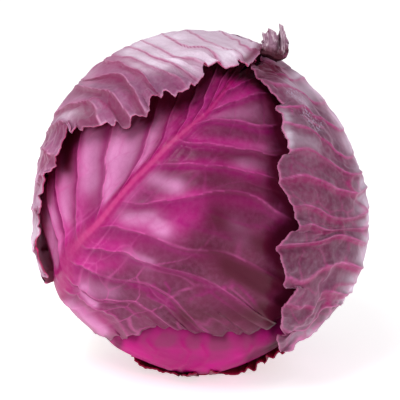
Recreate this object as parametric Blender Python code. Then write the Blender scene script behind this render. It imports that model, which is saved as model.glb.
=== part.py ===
"""A red cabbage head lying on its underside: a closed heart, the cut stalk and six leaves wrapped round them.

Places on the head are read as they look from in front and a little above: millimetres right and
up of the middle of the head. A third value of BACK puts the place on the far side instead.
"""

from math import cos, radians, sin

import bpy
import numpy as np

# Driving dimensions, in metres
MM = 0.001
HEAD_RADIUS = 0.0765  # middle of the head to the front leaf, where the head has no shoulder
REST_HEIGHT = 0.0806  # middle of the head above what it lies on, which sets the size of the flat spot
BLADE = 0.0011  # thickness of a leaf away from its ribs
STALK_RADIUS = 0.0125
STALK_END = 0.0845  # cut end of the stalk from the middle of the head
GAP = 0.0004  # left between pieces that touch
STALK_SIDES = 20
STALK_FOOT = radians(10)  # how far out from its axis the heart is measured for its foot
HEART_DEPTH = 0.0098  # surface of the heart below the front leaf's
HEART_LAP = 0.0006  # step where one leaf of the heart laps over the next
CURL_BLADE = 0.0012
CURL_DEPTH = 0.024  # neck of the dried tip in front of the head's middle
CURL_LEAN = 0.001  # how far its rim leans back
CURL_FOLD = 0.0022
PETIOLE_ANGLE = radians(12.5)  # ring round the stalk where every leaf starts
PETIOLE_SPREAD = radians(70)  # most that half of a leaf's base reaches round that ring
SMOOTHING = 16  # passes that even out the way in which a hidden half's veins leave the midrib
CLOSE_VEINS = 0.002  # veins this close together don't stand up from the blade
WIDE_VEINS = 0.007  # veins this far apart stand up fully
BARE_LIFT = 0.0060  # how much the bottom leaf swells where no other leaf presses on it
BARE_HEIGHT = (-0.70, -0.87)  # where that swelling starts and is full: share of the radius up from the middle
BARE_DEPTH = (-0.40, -0.12)  # and the same for the way towards the front

# The view that places are read in
LEAN = radians(15)
EYE = 1.1
BACK = -1
RIGHT = np.array([1.0, 0.0, 0.0])
UP = np.array([0.0, sin(LEAN), cos(LEAN)])
TOWARD = np.array([0.0, -cos(LEAN), sin(LEAN)])
VIEW = np.array([RIGHT, UP, TOWARD])
MIDDLE = np.array([0.0, 0.0, REST_HEIGHT])
STALK = np.array([-0.68, -0.60, -0.42])

# Swellings and flats of the head: the side they are on, how wide, and their height
SHOULDERS = (
    ((-0.82, -0.57, 0.0), 0.1, 6.0 * MM),
    ((0.0, -1.0, -0.1), 0.1, 5.5 * MM),
    ((-0.1, 1.0, 0.0), 0.3, 1.8 * MM),
    ((0.93, -0.36, 0.1), 0.08, 2.6 * MM),
    ((0.76, 0.65, 0.1), 0.2, -2.6 * MM),
    ((-1.0, 0.15, 0.1), 0.2, -1.6 * MM),
)

# Each vein of a leaf, from its midrib out to the margin
FRONT_LEFT = (
    ((-69.5, -44.5), (-73, -34), (-73, -20, BACK), (-70, -5, BACK), (-66, 8, BACK)),
    ((-66.5, -38), (-71.5, -28), (-74.5, -12), (-71, 4, BACK), (-65, 18, BACK)),
    ((-64.8, -32), (-69, -16), (-72, -2), (-73, 12), (-64, 28, BACK)),
    ((-63, -24.5), (-66.2, -9), (-69, 6), (-69.5, 20), (-58, 42, BACK)),
    ((-58, -17.5), (-59.5, -3), (-59.5, 12), (-58.5, 28), (-50, 52)),
    ((-50, -9.5), (-46.5, 4), (-45, 18), (-44, 33), (-34, 62)),
    ((-40, 3), (-32.5, 15), (-27, 27), (-23.5, 41), (-16, 68)),
    ((-24, 20), (-19, 30), (-15, 41), (-11, 54), (-4, 71)),
    ((-11, 33), (-7.5, 41), (-4.5, 50), (-1, 60), (4, 72.5)),
    ((-3, 40), (0.5, 47), (3, 54), (6, 62), (10, 73)),
    ((4, 46), (7, 52), (10, 59), (13, 66), (17, 73.5)),
    ((10.5, 54), (13, 59), (16, 65), (19, 70), (22, 74.5)),
    ((20, 66), (22, 69), (24, 71.5), (26, 73.5), (28, 75)),
)
FRONT_RIGHT = (
    ((-69.5, -44.5), (-66, -48.5), (-62, -52), (-58, -56), (-53.5, -60), (-50, -63)),
    ((-66.5, -38), (-59, -44.5), (-53, -49.5), (-47, -51.5), (-40, -56), (-36, -63.5)),
    ((-64.8, -32), (-55, -42), (-45.5, -47), (-33, -46.3), (-23, -50.5), (-10, -57.5)),
    ((-63, -24.5), (-53, -31), (-43, -35), (-30, -37.5), (-15, -43.5), (5, -58.5)),
    ((-58, -17.5), (-47, -21), (-37, -23), (-22, -29), (3, -37), (27, -60)),
    ((-50, -9.5), (-40.7, -10.3), (-27, -13.8), (-8, -20.6), (17, -25.5), (52, -46)),
    ((-40, 3), (-28, 0.8), (-12, 3), (6, 5.7), (31, 1.5), (62, -14)),
    ((-24, 20), (-14, 18.6), (1, 19.5), (17, 17.6), (36, 12), (65, 5)),
    ((-11, 33), (-3, 30), (12, 29), (25, 27.7), (40, 25.5), (65, 24)),
    ((-3, 40), (7, 41.5), (18, 40.3), (30, 38.2), (43, 38), (61, 38)),
    ((4, 46), (12, 48.5), (20, 52), (29, 54.5), (40, 53.5), (53, 50)),
    ((10.5, 54), (17, 57.5), (24, 60.5), (31, 62), (38, 62), (44, 60)),
    ((20, 66), (24, 68), (28, 69.5), (32, 70), (35, 69.5), (38, 68)),
)
TOP_FRONT = (
    ((-52, -28, BACK), (-63, -29, BACK), (-71, -31, BACK), (-76, -33, BACK), (-77.5, -35), (-74, -35)),
    ((-54, -16, BACK), (-66, -18, BACK), (-76, -20, BACK), (-81.5, -20), (-79.3, -20), (-77.5, -20)),
    ((-55, -2, BACK), (-68, -3, BACK), (-78, -3, BACK), (-82.5, -3), (-80.5, -3), (-77, -4)),
    ((-53, 12, BACK), (-67, 13, BACK), (-77, 13, BACK), (-81, 12), (-78.5, 12), (-74.5, 11.5)),
    ((-50, 22, BACK), (-65, 27, BACK), (-77, 28), (-75, 26.5), (-73, 25), (-70, 23.5)),
    ((-48, 27, BACK), (-64, 34, BACK), (-75, 37), (-71, 38.5), (-67, 39.5), (-63, 40)),
    ((-46, 31, BACK), (-62, 40, BACK), (-72.5, 43.5), (-61, 50), (-54, 48.5), (-50, 38.2)),
    ((-41, 40, BACK), (-53, 52, BACK), (-61, 58.5), (-52, 56.5), (-43.5, 54.5), (-35, 41)),
    ((-37, 47, BACK), (-48, 58, BACK), (-57, 61.2), (-41, 63.3), (-31.5, 57), (-24.5, 45)),
    ((-31, 54, BACK), (-41, 65, BACK), (-47, 70), (-37, 68), (-27, 63), (-19, 52.5)),
    ((-27, 58, BACK), (-37, 69, BACK), (-43, 72.5), (-31, 71.5), (-17, 64.5), (-5, 55.5)),
    ((-21, 63, BACK), (-30, 73, BACK), (-38, 76.5), (-25, 73.5), (-12, 69.3), (0.5, 61)),
    ((-15, 67, BACK), (-23, 77, BACK), (-32, 80), (-20, 77), (-8, 72), (2, 68.5)),
    ((-9, 71, BACK), (-14, 80, BACK), (-18, 83.5), (-9, 80), (0, 75), (11, 68.7)),
    ((-2, 74, BACK), (-4, 82, BACK), (-5, 84.5), (6, 79.5), (16, 75), (23, 69.3)),
    ((6, 77, BACK), (8, 83, BACK), (10, 84), (17, 80.5), (23, 77), (28.4, 72.5)),
    ((17, 80, BACK), (20, 82), (23, 81.5), (26, 80), (29, 78.7), (31.4, 77.4)),
)
RIGHT_FRONT = (
    ((-25, -46, BACK), (-21, -54, BACK), (-13, -62, BACK)),
    ((2, -44, BACK), (8, -55, BACK), (17, -65, BACK)),
    ((14, -41.5, BACK), (21, -54, BACK), (29, -67, BACK)),
    ((25, -38, BACK), (34, -53, BACK), (38, -69, BACK)),
    ((34, -33, BACK), (43, -46, BACK), (50, -57, BACK), (52, -64, BACK), (47, -67, BACK), (43, -70.5)),
    ((42, -28, BACK), (53, -39, BACK), (63, -51, BACK), (60, -57), (50, -62.5), (42, -68.5)),
    ((53, -17, BACK), (64, -31, BACK), (70, -44, BACK), (62, -48.5), (52, -56), (39.5, -57)),
    ((59, -7, BACK), (71, -20, BACK), (76, -38), (63, -42.5), (52, -47.5), (41, -46)),
    ((62, 1, BACK), (74, -10, BACK), (79, -30), (67, -28), (54, -31), (40.5, -32)),
    ((64, 8, BACK), (76, -3, BACK), (81, -18), (68, -15), (55, -19), (38, -20)),
    ((65.5, 14, BACK), (76, 4, BACK), (82, -9), (70, -11), (58, -11.3), (46.5, -10)),
    ((66.5, 20, BACK), (75.5, 12, BACK), (80.5, -2), (68, -6), (56.5, -2), (43.5, 0)),
    ((66, 26, BACK), (74.5, 19, BACK), (78.5, 8), (68, 7.3), (56, 10.3), (39, 13)),
    ((64.5, 32, BACK), (73, 26, BACK), (76.5, 16.5), (66, 19.5), (54, 25.3), (42.5, 26)),
    ((62, 37, BACK), (70, 33, BACK), (73.5, 24), (64, 28.5), (54, 36), (40, 39)),
    ((58, 42, BACK), (66, 40, BACK), (67, 38), (57, 44), (47, 48.5), (37.5, 48.5)),
    ((51, 50, BACK), (59, 50, BACK), (58, 50), (50, 55), (40, 59.5), (30, 60.5)),
    ((43, 58, BACK), (50, 60.5, BACK), (47, 61.5), (41, 63), (34, 65), (27.5, 65.5)),
    ((37, 65), (38, 67), (36, 68), (34, 69), (31.5, 69.5), (29, 69)),
)
UNDER_FRONT = (
    ((-38, -60, BACK), (-47, -65, BACK)),
    ((-22, -68, BACK), (-31, -75.5, BACK)),
    ((-5, -72, BACK), (-15, -80, BACK)),
    ((9, -73, BACK), (2, -82, BACK)),
    ((21, -71, BACK), (16, -82.5, BACK)),
    ((30, -66, BACK), (28, -79)),
    ((37, -60, BACK), (35, -76)),
    ((42, -54, BACK), (40, -72)),
)
BOTTOM_MIDRIB = (
    (-44, -65), (-34, -71), (-19, -76.5), (-2, -78.5), (18, -76), (36, -67), (50, -53), (60, -37),
)
BACK_MIDRIB = (
    (-42, -34, BACK), (-28, -17, BACK), (-12, 0, BACK), (4, 18, BACK), (17, 36, BACK),
    (26, 52, BACK), (31, 64, BACK), (33, 72),
)
# Rim of the dried leaf tip that stands up at the top, from its near side round to its far side
CURL_RIM = (
    (32.3, 79), (31, 84.3), (33.6, 86.2), (36.5, 83), (38.2, 88.7), (41, 84.5), (43, 77), (41, 71.5),
)
CURL_NECK = ((31.8, 68.8), (37.2, 66.2))


def unit(vectors):
    return vectors / np.linalg.norm(vectors, axis=-1, keepdims=True)


def smooth_step(values, start, end):
    """0 before start, 1 after end, and an even S between them."""
    share = np.clip((values - start) / (end - start), 0, 1)
    return share * share * (3 - 2 * share)


def head_radius(directions):
    """Distance of the front leaf's layer from the middle of the head, with its swellings and its flat spot."""
    radius = np.full(directions.shape[:-1], HEAD_RADIUS)
    for side, width, height in SHOULDERS:
        radius += height * np.exp((directions @ unit(np.array(side)) - 1) / width)
    return radius


def floor_distance(directions):
    """Distance from the middle of the head to the surface it lies on, along each direction."""
    down = -(directions @ VIEW)[..., 2]
    return np.where(down > 0.2, REST_HEIGHT / np.maximum(down, 0.2), 1.0)


def layer_radius(directions, lift):
    """The head's radius with a layer of leaf on it, pressed flat on its underside."""
    pressed = floor_distance(directions) - LEAVES["under_leaf"]["lift"]
    return np.minimum(head_radius(directions), pressed) + lift


def placed(point, lift):
    """The direction of a place that is read in the view, on a layer of leaf with this lift."""
    across = np.array(point[:2]) * MM
    near = point[2] if len(point) > 2 else 1
    depth = 0.0
    for _ in range(8):
        spot = np.append(across * (1 - depth / EYE), depth)
        radius = layer_radius(unit(spot), lift)
        flat = np.linalg.norm(spot[:2])
        depth = near * np.sqrt(max(radius**2 - flat**2, 0.0))
    return unit(np.append(across * (1 - depth / EYE), depth))


def spline(points, at):
    """Catmull-Rom curve through points along the first axis, at fractional places along it."""
    ends = [2 * points[:1] - points[1:2], points, 2 * points[-1:] - points[-2:-1]]
    around = np.concatenate(ends)
    start = np.clip(np.floor(at).astype(int), 0, len(points) - 2)
    share = (at - start).reshape((-1,) + (1,) * (points.ndim - 1))
    a, b, c, d = (around[start + k] for k in range(4))
    cubic = 3 * (b - c) + d - a
    return b + 0.5 * share * (c - a + share * (2 * a - 5 * b + 4 * c - d + share * cubic))


def vein_rows(veins, lift, columns):
    """Hand-placed veins as directions, each resampled to the same number of columns."""
    rows = []
    for vein in veins:
        points = np.array([placed(point, lift) for point in vein])
        rows.append(spline(points, np.linspace(0, len(points) - 1, columns + 1)))
    return unit(np.array(rows))


def fan_rows(midrib, side, width, sweep, columns):
    """Veins that leave the midrib to one side and bend towards the tip, widest in the leaf's middle."""
    ahead = unit(np.gradient(midrib, axis=0))
    for _ in range(SMOOTHING):
        padded = np.concatenate([ahead[:1], ahead, ahead[-1:]])
        ahead = unit(padded[:-2] + 2 * padded[1:-1] + padded[2:])
    across = side * unit(np.cross(midrib, ahead))
    outward = cos(sweep) * across + sin(sweep) * ahead
    share = np.linspace(0, 1, columns + 1)
    along = np.linspace(0, 1, len(midrib))
    reach = width * (0.12 + 0.88 * np.sin(np.pi * (0.14 + 0.84 * along)) ** 0.8)
    angle = (share * reach[:, None])[..., None]
    return np.cos(angle) * midrib[:, None] + np.sin(angle) * outward[:, None]


def with_base(net, middle):
    """The net with one more row in front: the leaf's base, bent round the stalk."""
    axis = unit(STALK)
    towards = unit(net[0, middle] - (net[0, middle] @ axis) * axis)
    turn = np.cross(axis, towards)
    around = np.unwrap(np.arctan2(net[0] @ turn, net[0] @ towards))
    angle = (PETIOLE_SPREAD * np.tanh((around - around[middle]) / PETIOLE_SPREAD))[:, None]
    ring = np.cos(angle) * towards + np.sin(angle) * turn
    base = cos(PETIOLE_ANGLE) * axis + sin(PETIOLE_ANGLE) * ring
    return np.concatenate([base[None], net])


def leaf_net(name):
    """Directions of a leaf's veins, margin to margin, and the column that its midrib is in."""
    leaf = LEAVES[name]
    sides = []
    for spec in leaf["sides"]:
        if "veins" in spec:
            sides.append(vein_rows(spec["veins"], leaf["lift"], spec["columns"]))
            midrib = sides[-1][:, 0]
        else:
            sides.append(spec)
    if "midrib" in leaf:
        midrib = np.array([placed(point, leaf["lift"]) for point in leaf["midrib"]])
    for at, spec in enumerate(sides):
        if isinstance(spec, dict):
            sides[at] = fan_rows(midrib, spec["side"], spec["width"], spec["sweep"], spec["columns"])
    first, second = sides
    net = np.concatenate([first[:, ::-1], second[:, 1:]], axis=1)
    middle = first.shape[1] - 1
    return with_base(net, middle), middle


def leaf_relief(leaf, directions, rows, columns, first, second, last_row):
    """Height of a leaf's surface over its layer: veins, midrib, lifted margin and ruffles."""
    row, column = np.meshgrid(rows, columns, indexing="ij")
    margin = np.where(column < 0, -column / first, column / second)
    crest = 1 - np.sin(np.pi * row) ** 2 * smooth_step(np.abs(column), 0, 1)
    apart = np.linalg.norm(np.gradient(directions, rows, axis=0), axis=-1) * HEAD_RADIUS
    body = smooth_step(row, 0.5, 2.0) * smooth_step(apart, CLOSE_VEINS, WIDE_VEINS)
    height = leaf["ridge"] * (crest - 0.5) * body * (1 - 0.5 * margin)
    wave = 0.5 + 0.5 * np.sin(2 * np.pi * leaf["waves"] * row + 1.3 * np.sin(1.7 * row))
    rise = smooth_step(margin, 0.62, 1.0) * smooth_step(row, leaf["flare_row"], leaf["flare_row"] + 2)
    flare = np.where(column < 0, leaf["flare"][0], leaf["flare"][1])
    height += flare * rise * (0.45 + 0.55 * wave)
    swell = np.exp(-((column / leaf["rib_columns"]) ** 2)) * (1 - row / last_row)
    return height, leaf["rib"] * swell


def bare_swelling(directions):
    """How far the bottom leaf swells out in front, below the margin of the front leaf."""
    low = smooth_step(-directions[..., 1], -BARE_HEIGHT[0], -BARE_HEIGHT[1])
    return BARE_LIFT * low * smooth_step(directions[..., 2], *BARE_DEPTH)


def grid_solid(name, inner, outer):
    """A closed blade from two grids of points, with both faces split into triangles alike."""
    count, width = inner.shape[:2]
    index = np.arange(count * width).reshape(count, width)
    a, b, c, d = index[:-1, :-1], index[1:, :-1], index[1:, 1:], index[:-1, 1:]
    even = (np.add.outer(np.arange(count - 1), np.arange(width - 1)) % 2 == 0)[..., None]
    one = np.where(even, np.stack([a, b, c], -1), np.stack([a, b, d], -1)).reshape(-1, 3)
    two = np.where(even, np.stack([a, c, d], -1), np.stack([b, c, d], -1)).reshape(-1, 3)
    skin = np.concatenate([one, two])
    shift = count * width
    around = np.concatenate([index[0, :-1], index[:-1, -1], index[-1, :0:-1], index[:0:-1, 0]])
    after = np.roll(around, -1)
    rim = np.concatenate(
        [np.stack([around, after, after + shift], -1), np.stack([around, after + shift, around + shift], -1)]
    )
    faces = np.concatenate([skin, skin[:, ::-1] + shift, rim])
    points = np.concatenate([outer.reshape(-1, 3), inner.reshape(-1, 3)])
    return outward_mesh(name, points, faces)


def outward_mesh(name, points, faces):
    """A mesh from points and triangles, turned so that its faces point out."""
    corners = points[faces]
    volume = np.einsum("ij,ij->i", corners[:, 0], np.cross(corners[:, 1], corners[:, 2])).sum()
    if volume < 0:
        faces = faces[:, ::-1]
    mesh = bpy.data.meshes.new(name)
    mesh.from_pydata(points.tolist(), [], faces.tolist())
    mesh.update()
    return mesh


def to_world(directions, radius):
    """Points in the row's frame from directions in the view and distances from the head's middle."""
    return (directions @ VIEW) * radius[..., None] + MIDDLE


def add_object(name, mesh):
    thing = bpy.data.objects.new(name, mesh)
    bpy.context.collection.objects.link(thing)
    colour, roughness = FINISHES[name]
    material = bpy.data.materials.new(name)
    material.use_nodes = True
    shader = material.node_tree.nodes["Principled BSDF"]
    shader.inputs["Base Color"].default_value = (*colour, 1)
    shader.inputs["Roughness"].default_value = roughness
    shader.inputs["Metallic"].default_value = 0.0
    mesh.materials.append(material)
    mesh.shade_smooth()
    return thing


def make_leaf(name):
    """One leaf: a blade that follows the head at its layer, on the grid of its veins."""
    leaf = LEAVES[name]
    net, middle = leaf_net(name)
    second = net.shape[1] - 1 - middle
    last_row = len(net) - 1
    rows = np.linspace(0, last_row, last_row * leaf["row_steps"] + 1)
    steps = np.linspace(0, middle + second, (middle + second) * leaf["column_steps"] + 1)
    directions = unit(spline(spline(net, rows).swapaxes(0, 1), steps).swapaxes(0, 1))
    height, rib = leaf_relief(leaf, directions, rows, steps - middle, middle, second, last_row)
    if name == "bottom_leaf":
        height += bare_swelling(directions)
    base = layer_radius(directions, leaf["lift"]) + height
    outer = base + rib
    if name == "under_leaf":
        outer = np.minimum(head_radius(directions) + leaf["lift"] + height + rib, floor_distance(directions))
        base = np.minimum(base, outer)
    inner = base - BLADE
    return add_object(name, grid_solid(name, to_world(directions, inner), to_world(directions, outer)))


def make_heart():
    """The closed heart: a ball whose leaves lap in a spiral from the stalk to the top."""
    rings, spokes = 18, 30
    axis = unit(-STALK)
    side = unit(np.cross(axis, [0.0, 0.0, 1.0]))
    other = np.cross(axis, side)
    polar = np.linspace(0, np.pi, rings + 1)[1:-1, None]
    turn = (np.arange(spokes) * 2 * np.pi / spokes)[None, :]
    flat = np.cos(turn)[..., None] * side + np.sin(turn)[..., None] * other
    directions = np.cos(polar)[..., None] * axis + np.sin(polar)[..., None] * flat
    lap = (3 * turn / (2 * np.pi) + 1.4 * polar / np.pi) % 1.0
    fade = np.sin(polar) ** 0.5
    radius = layer_radius(directions, -HEART_DEPTH) - HEART_LAP * lap * fade
    poles = np.array([axis, -axis])
    caps = layer_radius(poles, -HEART_DEPTH)
    points = np.concatenate([to_world(directions, radius).reshape(-1, 3), to_world(poles, caps)])
    index = np.arange((rings - 1) * spokes).reshape(rings - 1, spokes)
    beside = np.roll(index, -1, axis=1)
    a, b, c, d = index[:-1], index[1:], beside[1:], beside[:-1]
    faces = np.concatenate([np.stack([a, b, c], -1).reshape(-1, 3), np.stack([a, c, d], -1).reshape(-1, 3)])
    top, foot = index.size, index.size + 1
    crown = np.stack([np.full(spokes, top), index[0], beside[0]], -1)
    root = np.stack([np.full(spokes, foot), beside[-1], index[-1]], -1)
    return add_object("inner_head", outward_mesh("inner_head", points, np.concatenate([faces, crown, root])))


def make_stalk():
    """The stub of the stalk: a short tapered post, cut square, from the heart out between the leaves."""
    axis = unit(STALK)
    side = unit(np.cross(axis, [0.0, 0.0, 1.0]))
    other = np.cross(axis, side)
    turn = np.arange(STALK_SIDES) * 2 * np.pi / STALK_SIDES
    flat = np.cos(turn)[:, None] * side + np.sin(turn)[:, None] * other
    foot = cos(STALK_FOOT) * axis + sin(STALK_FOOT) * flat
    high = max(layer_radius(foot, -HEART_DEPTH).max() * cos(STALK_FOOT), layer_radius(axis, -HEART_DEPTH))
    start = high + GAP
    stations = ((start, 0.94), (0.5 * (start + STALK_END), 1.0), (STALK_END, 1.04))
    rings = [(axis * reach + flat * STALK_RADIUS * share) for reach, share in stations]
    points = np.concatenate([*rings, [axis * start], [axis * STALK_END]]) @ VIEW + MIDDLE
    around = np.arange(STALK_SIDES)
    after = np.roll(around, -1)
    faces = []
    for step in range(len(stations) - 1):
        low, high = step * STALK_SIDES, (step + 1) * STALK_SIDES
        faces += [np.stack([low + around, low + after, high + after], -1)]
        faces += [np.stack([low + around, high + after, high + around], -1)]
    foot, end = len(points) - 2, len(points) - 1
    last = (len(stations) - 1) * STALK_SIDES
    faces += [np.stack([np.full(STALK_SIDES, foot), after, around], -1)]
    faces += [np.stack([np.full(STALK_SIDES, end), last + around, last + after], -1)]
    return add_object("stalk", outward_mesh("stalk", points, np.concatenate(faces)))


def curl_mesh():
    """The dried tip: a small sheet that widens from its neck to a ragged rim, folded like a fan."""
    rim = np.array([(x, y, 0.0) for x, y in CURL_RIM]) * MM
    neck_ends = np.array([(x, y, 0.0) for x, y in CURL_NECK]) * MM
    count = len(rim)
    along = np.linspace(0, 1, count)[:, None]
    neck = neck_ends[0] * (1 - along) + neck_ends[1] * along
    levels = np.linspace(0, 1, 5)
    sheet = neck[:, None] + (rim - neck)[:, None] * levels[None, :, None]
    fold = np.where(np.arange(count) % 2 == 0, 1.0, -1.0)[:, None]
    depth = CURL_DEPTH - CURL_LEAN * levels + fold * CURL_FOLD * levels
    sheet[..., 2] = depth
    across = np.gradient(sheet, axis=0)
    upward = np.gradient(sheet, axis=1)
    normal = unit(np.cross(across, upward)) * CURL_BLADE / 2
    return grid_solid("curl", (sheet - normal) @ VIEW + MIDDLE, (sheet + normal) @ VIEW + MIDDLE)


def join_curl(leaf):
    """Unites the dried tip with the leaf that it is the tip of."""
    curl = bpy.data.objects.new("curl", curl_mesh())
    bpy.context.collection.objects.link(curl)
    union = leaf.modifiers.new("curl", "BOOLEAN")
    union.operation = "UNION"
    union.object = curl
    bpy.context.view_layer.update()
    joined = bpy.data.meshes.new_from_object(leaf.evaluated_get(bpy.context.evaluated_depsgraph_get()))
    leaf.modifiers.clear()
    leaf.data = joined
    bpy.data.objects.remove(curl)


LEAVES = {
    "bottom_leaf": {
        "lift": -6.2 * MM, "ridge": 0.5 * MM, "waves": 0.5, "flare": (0.0, 0.0), "rib": 0.3 * MM,
        "flare_row": 1, "rib_columns": 0.8, "row_steps": 2, "column_steps": 2, "midrib": BOTTOM_MIDRIB,
        "sides": (
            {"side": 1, "width": radians(54), "sweep": radians(15), "columns": 4},
            {"side": -1, "width": radians(34), "sweep": radians(20), "columns": 3},
        ),
    },
    "back_leaf": {
        "lift": -3.9 * MM, "ridge": 0.6 * MM, "waves": 0.5, "flare": (0.0, 0.0), "rib": 0.4 * MM,
        "flare_row": 1, "rib_columns": 0.7, "row_steps": 2, "column_steps": 2, "midrib": BACK_MIDRIB,
        "sides": (
            {"side": 1, "width": radians(62), "sweep": radians(30), "columns": 4},
            {"side": -1, "width": radians(58), "sweep": radians(30), "columns": 4},
        ),
    },
    "front_leaf": {
        "lift": -0.4 * MM, "ridge": 1.8 * MM, "waves": 0.5, "flare": (0.0, 0.0), "rib": 2.0 * MM,
        "flare_row": 1, "rib_columns": 0.5, "row_steps": 2, "column_steps": 2,
        "sides": ({"veins": FRONT_LEFT, "columns": 4}, {"veins": FRONT_RIGHT, "columns": 5}),
    },
    "under_leaf": {
        "lift": 1.9 * MM, "ridge": 0.3 * MM, "waves": 0.5, "flare": (0.0, 0.6 * MM), "rib": 0.2 * MM,
        "flare_row": 1, "rib_columns": 0.7, "row_steps": 2, "column_steps": 2,
        "sides": (
            {"side": -1, "width": radians(24), "sweep": radians(10), "columns": 3},
            {"veins": UNDER_FRONT, "columns": 3},
        ),
    },
    "right_leaf": {
        "lift": 4.9 * MM, "ridge": 0.7 * MM, "waves": 0.5, "flare": (0.4 * MM, 2.5 * MM), "rib": 0.4 * MM,
        "flare_row": 1, "rib_columns": 0.5, "row_steps": 2, "column_steps": 2,
        "sides": (
            {"side": -1, "width": radians(42), "sweep": radians(20), "columns": 3},
            {"veins": RIGHT_FRONT, "columns": 5},
        ),
    },
    "top_leaf": {
        "lift": 7.5 * MM, "ridge": 1.1 * MM, "waves": 0.5, "flare": (1.5 * MM, 3.0 * MM), "rib": 1.2 * MM,
        "flare_row": 5, "rib_columns": 0.5, "row_steps": 2, "column_steps": 2,
        "sides": (
            {"side": 1, "width": radians(58), "sweep": radians(30), "columns": 4},
            {"veins": TOP_FRONT, "columns": 5},
        ),
    },
}

# Colour and roughness
FINISHES = {
    "inner_head": ((0.33, 0.05, 0.16), 0.45),
    "stalk": ((0.72, 0.55, 0.58), 0.6),
    "front_leaf": ((0.46, 0.06, 0.25), 0.35),
    "bottom_leaf": ((0.55, 0.05, 0.27), 0.35),
    "back_leaf": ((0.42, 0.12, 0.28), 0.45),
    "under_leaf": ((0.22, 0.03, 0.1), 0.5),
    "right_leaf": ((0.42, 0.17, 0.3), 0.45),
    "top_leaf": ((0.6, 0.38, 0.52), 0.45),
}


def main():
    for thing in list(bpy.data.objects):
        bpy.data.objects.remove(thing)
    make_heart()
    make_stalk()
    for name in LEAVES:
        leaf = make_leaf(name)
        if name == "right_leaf":
            join_curl(leaf)


main()
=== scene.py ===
"""A red cabbage head: veined wrapper leaves over a closed heart, on a pale floor in soft studio light."""

from math import cos, pi, radians, sin
from types import SimpleNamespace

import bpy
import numpy as np
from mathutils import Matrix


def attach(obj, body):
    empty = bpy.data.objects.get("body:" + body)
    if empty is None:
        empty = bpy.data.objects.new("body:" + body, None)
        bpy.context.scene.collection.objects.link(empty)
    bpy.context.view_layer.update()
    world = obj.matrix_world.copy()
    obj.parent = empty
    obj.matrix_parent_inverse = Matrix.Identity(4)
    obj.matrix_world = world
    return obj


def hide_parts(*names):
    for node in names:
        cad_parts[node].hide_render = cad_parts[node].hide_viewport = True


bl_info = {
    "name": "Red cabbage head",
    "version": (1, 0, 0),
    "blender": (4, 5, 0),
    "location": "3D Viewport > Sidebar > Cabbage",
    "description": "Builds the leaves, heart and stalk of a red cabbage around its packed frame",
    "category": "Add Mesh",
}

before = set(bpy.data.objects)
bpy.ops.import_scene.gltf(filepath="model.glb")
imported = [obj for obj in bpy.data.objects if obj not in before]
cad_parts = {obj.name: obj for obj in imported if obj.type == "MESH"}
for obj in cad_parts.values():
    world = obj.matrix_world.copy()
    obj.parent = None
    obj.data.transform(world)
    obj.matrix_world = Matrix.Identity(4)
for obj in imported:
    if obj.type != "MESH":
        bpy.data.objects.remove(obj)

MM = 0.001
BODY = "root"
HEAD_RADIUS = 0.0765  # middle of the head to the front leaf, where the head has no shoulder
REST_HEIGHT = 0.0806  # middle of the head above the floor
STALK = np.array([-0.68, -0.60, -0.42])  # direction in the view
PETIOLE_ANGLE = radians(12.5)  # from the stalk's axis to the base of every leaf
PETIOLE_SPREAD = radians(70)  # how far a leaf's base reaches round the stalk, to either side
SMOOTHING = 16  # rounds that even out the way a midrib runs
BARE_LIFT = 6.8 * MM  # the bottom leaf's swelling, and where in the view it rises to its full height
BARE_HEIGHT = (-0.70, -0.87)
BARE_DEPTH = (-0.40, -0.12)
MARGIN_STEPS = 1600
TOOTH = 1.6  # millimetres of margin to one tooth
RIB_STRETCHES = 60
TIP_STATIONS, TIP_FOLDS = 110, 120
HEART_RINGS, HEART_SPOKES, HEART_LEAVES = 60, 110, 3
HEART_LIFT = -9.8 * MM
HEART_LAP = 0.6 * MM
STALK_RINGS, STALK_SPOKES = 110, 120
FLOOR_REACH, FLOOR_STEPS = 3.0, 9
WAX, HAZE = (196, 184, 212), (246, 192, 226)
WHITE = (1, 1, 1, 1)
SKY_STRENGTH = 0.42
SENSOR = 36.0  # millimetres
PICTURE_WIDTH = 0.196
AIM_HEIGHT = 2.45
# Seeds of the noises on a leaf, counted from its own seed
SEEDS = {
    "nibble": 0, "cells": 3, "wander": 11, "warp_row": 21, "warp_column": 22, "crumple": 31, "ruffle": 41,
    "mottle": 51, "force": 61, "teeth": 71, "crease": 81, "facet": 85, "frill": 91, "uneven": 95,
}
CREASE_SIZE, FACET_SIZE, CRUMPLE_SIZE, MOTTLE_SIZE = 11 * MM, 9 * MM, 14 * MM, 22 * MM
# Masks of colour: crest, core and pale carry painted highlights; shade and part of the rosy mask carry
# painted shade
MASKS = ("vein", "crest", "rib", "core", "pale", "rose", "shade", "edge", "bloom", "inside")

# The view that places on the head are read in: millimetres right and up of its middle
LEAN = radians(15)
EYE = 1.1  # metres from the eye to the middle of the head
BACK = -1  # marks a place on the far side of the head
RIGHT = np.array([1.0, 0.0, 0.0])
UP = np.array([0.0, sin(LEAN), cos(LEAN)])
TOWARD = np.array([0.0, -cos(LEAN), sin(LEAN)])
VIEW = np.array([RIGHT, UP, TOWARD])
MIDDLE = np.array([0.0, 0.0, REST_HEIGHT])

# Swellings of the head: direction in the view, spread and height
SHOULDERS = (
    ((-0.82, -0.57, 0.0), 0.1, 6.0 * MM),
    ((0.0, -1.0, -0.1), 0.1, 5.5 * MM),
    ((-0.1, 1.0, 0.0), 0.3, 1.8 * MM),
    ((0.93, -0.36, 0.1), 0.08, 2.6 * MM),
    ((0.76, 0.65, 0.1), 0.2, -2.6 * MM),
    ((-1.0, 0.15, 0.1), 0.2, -1.6 * MM),
)

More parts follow.
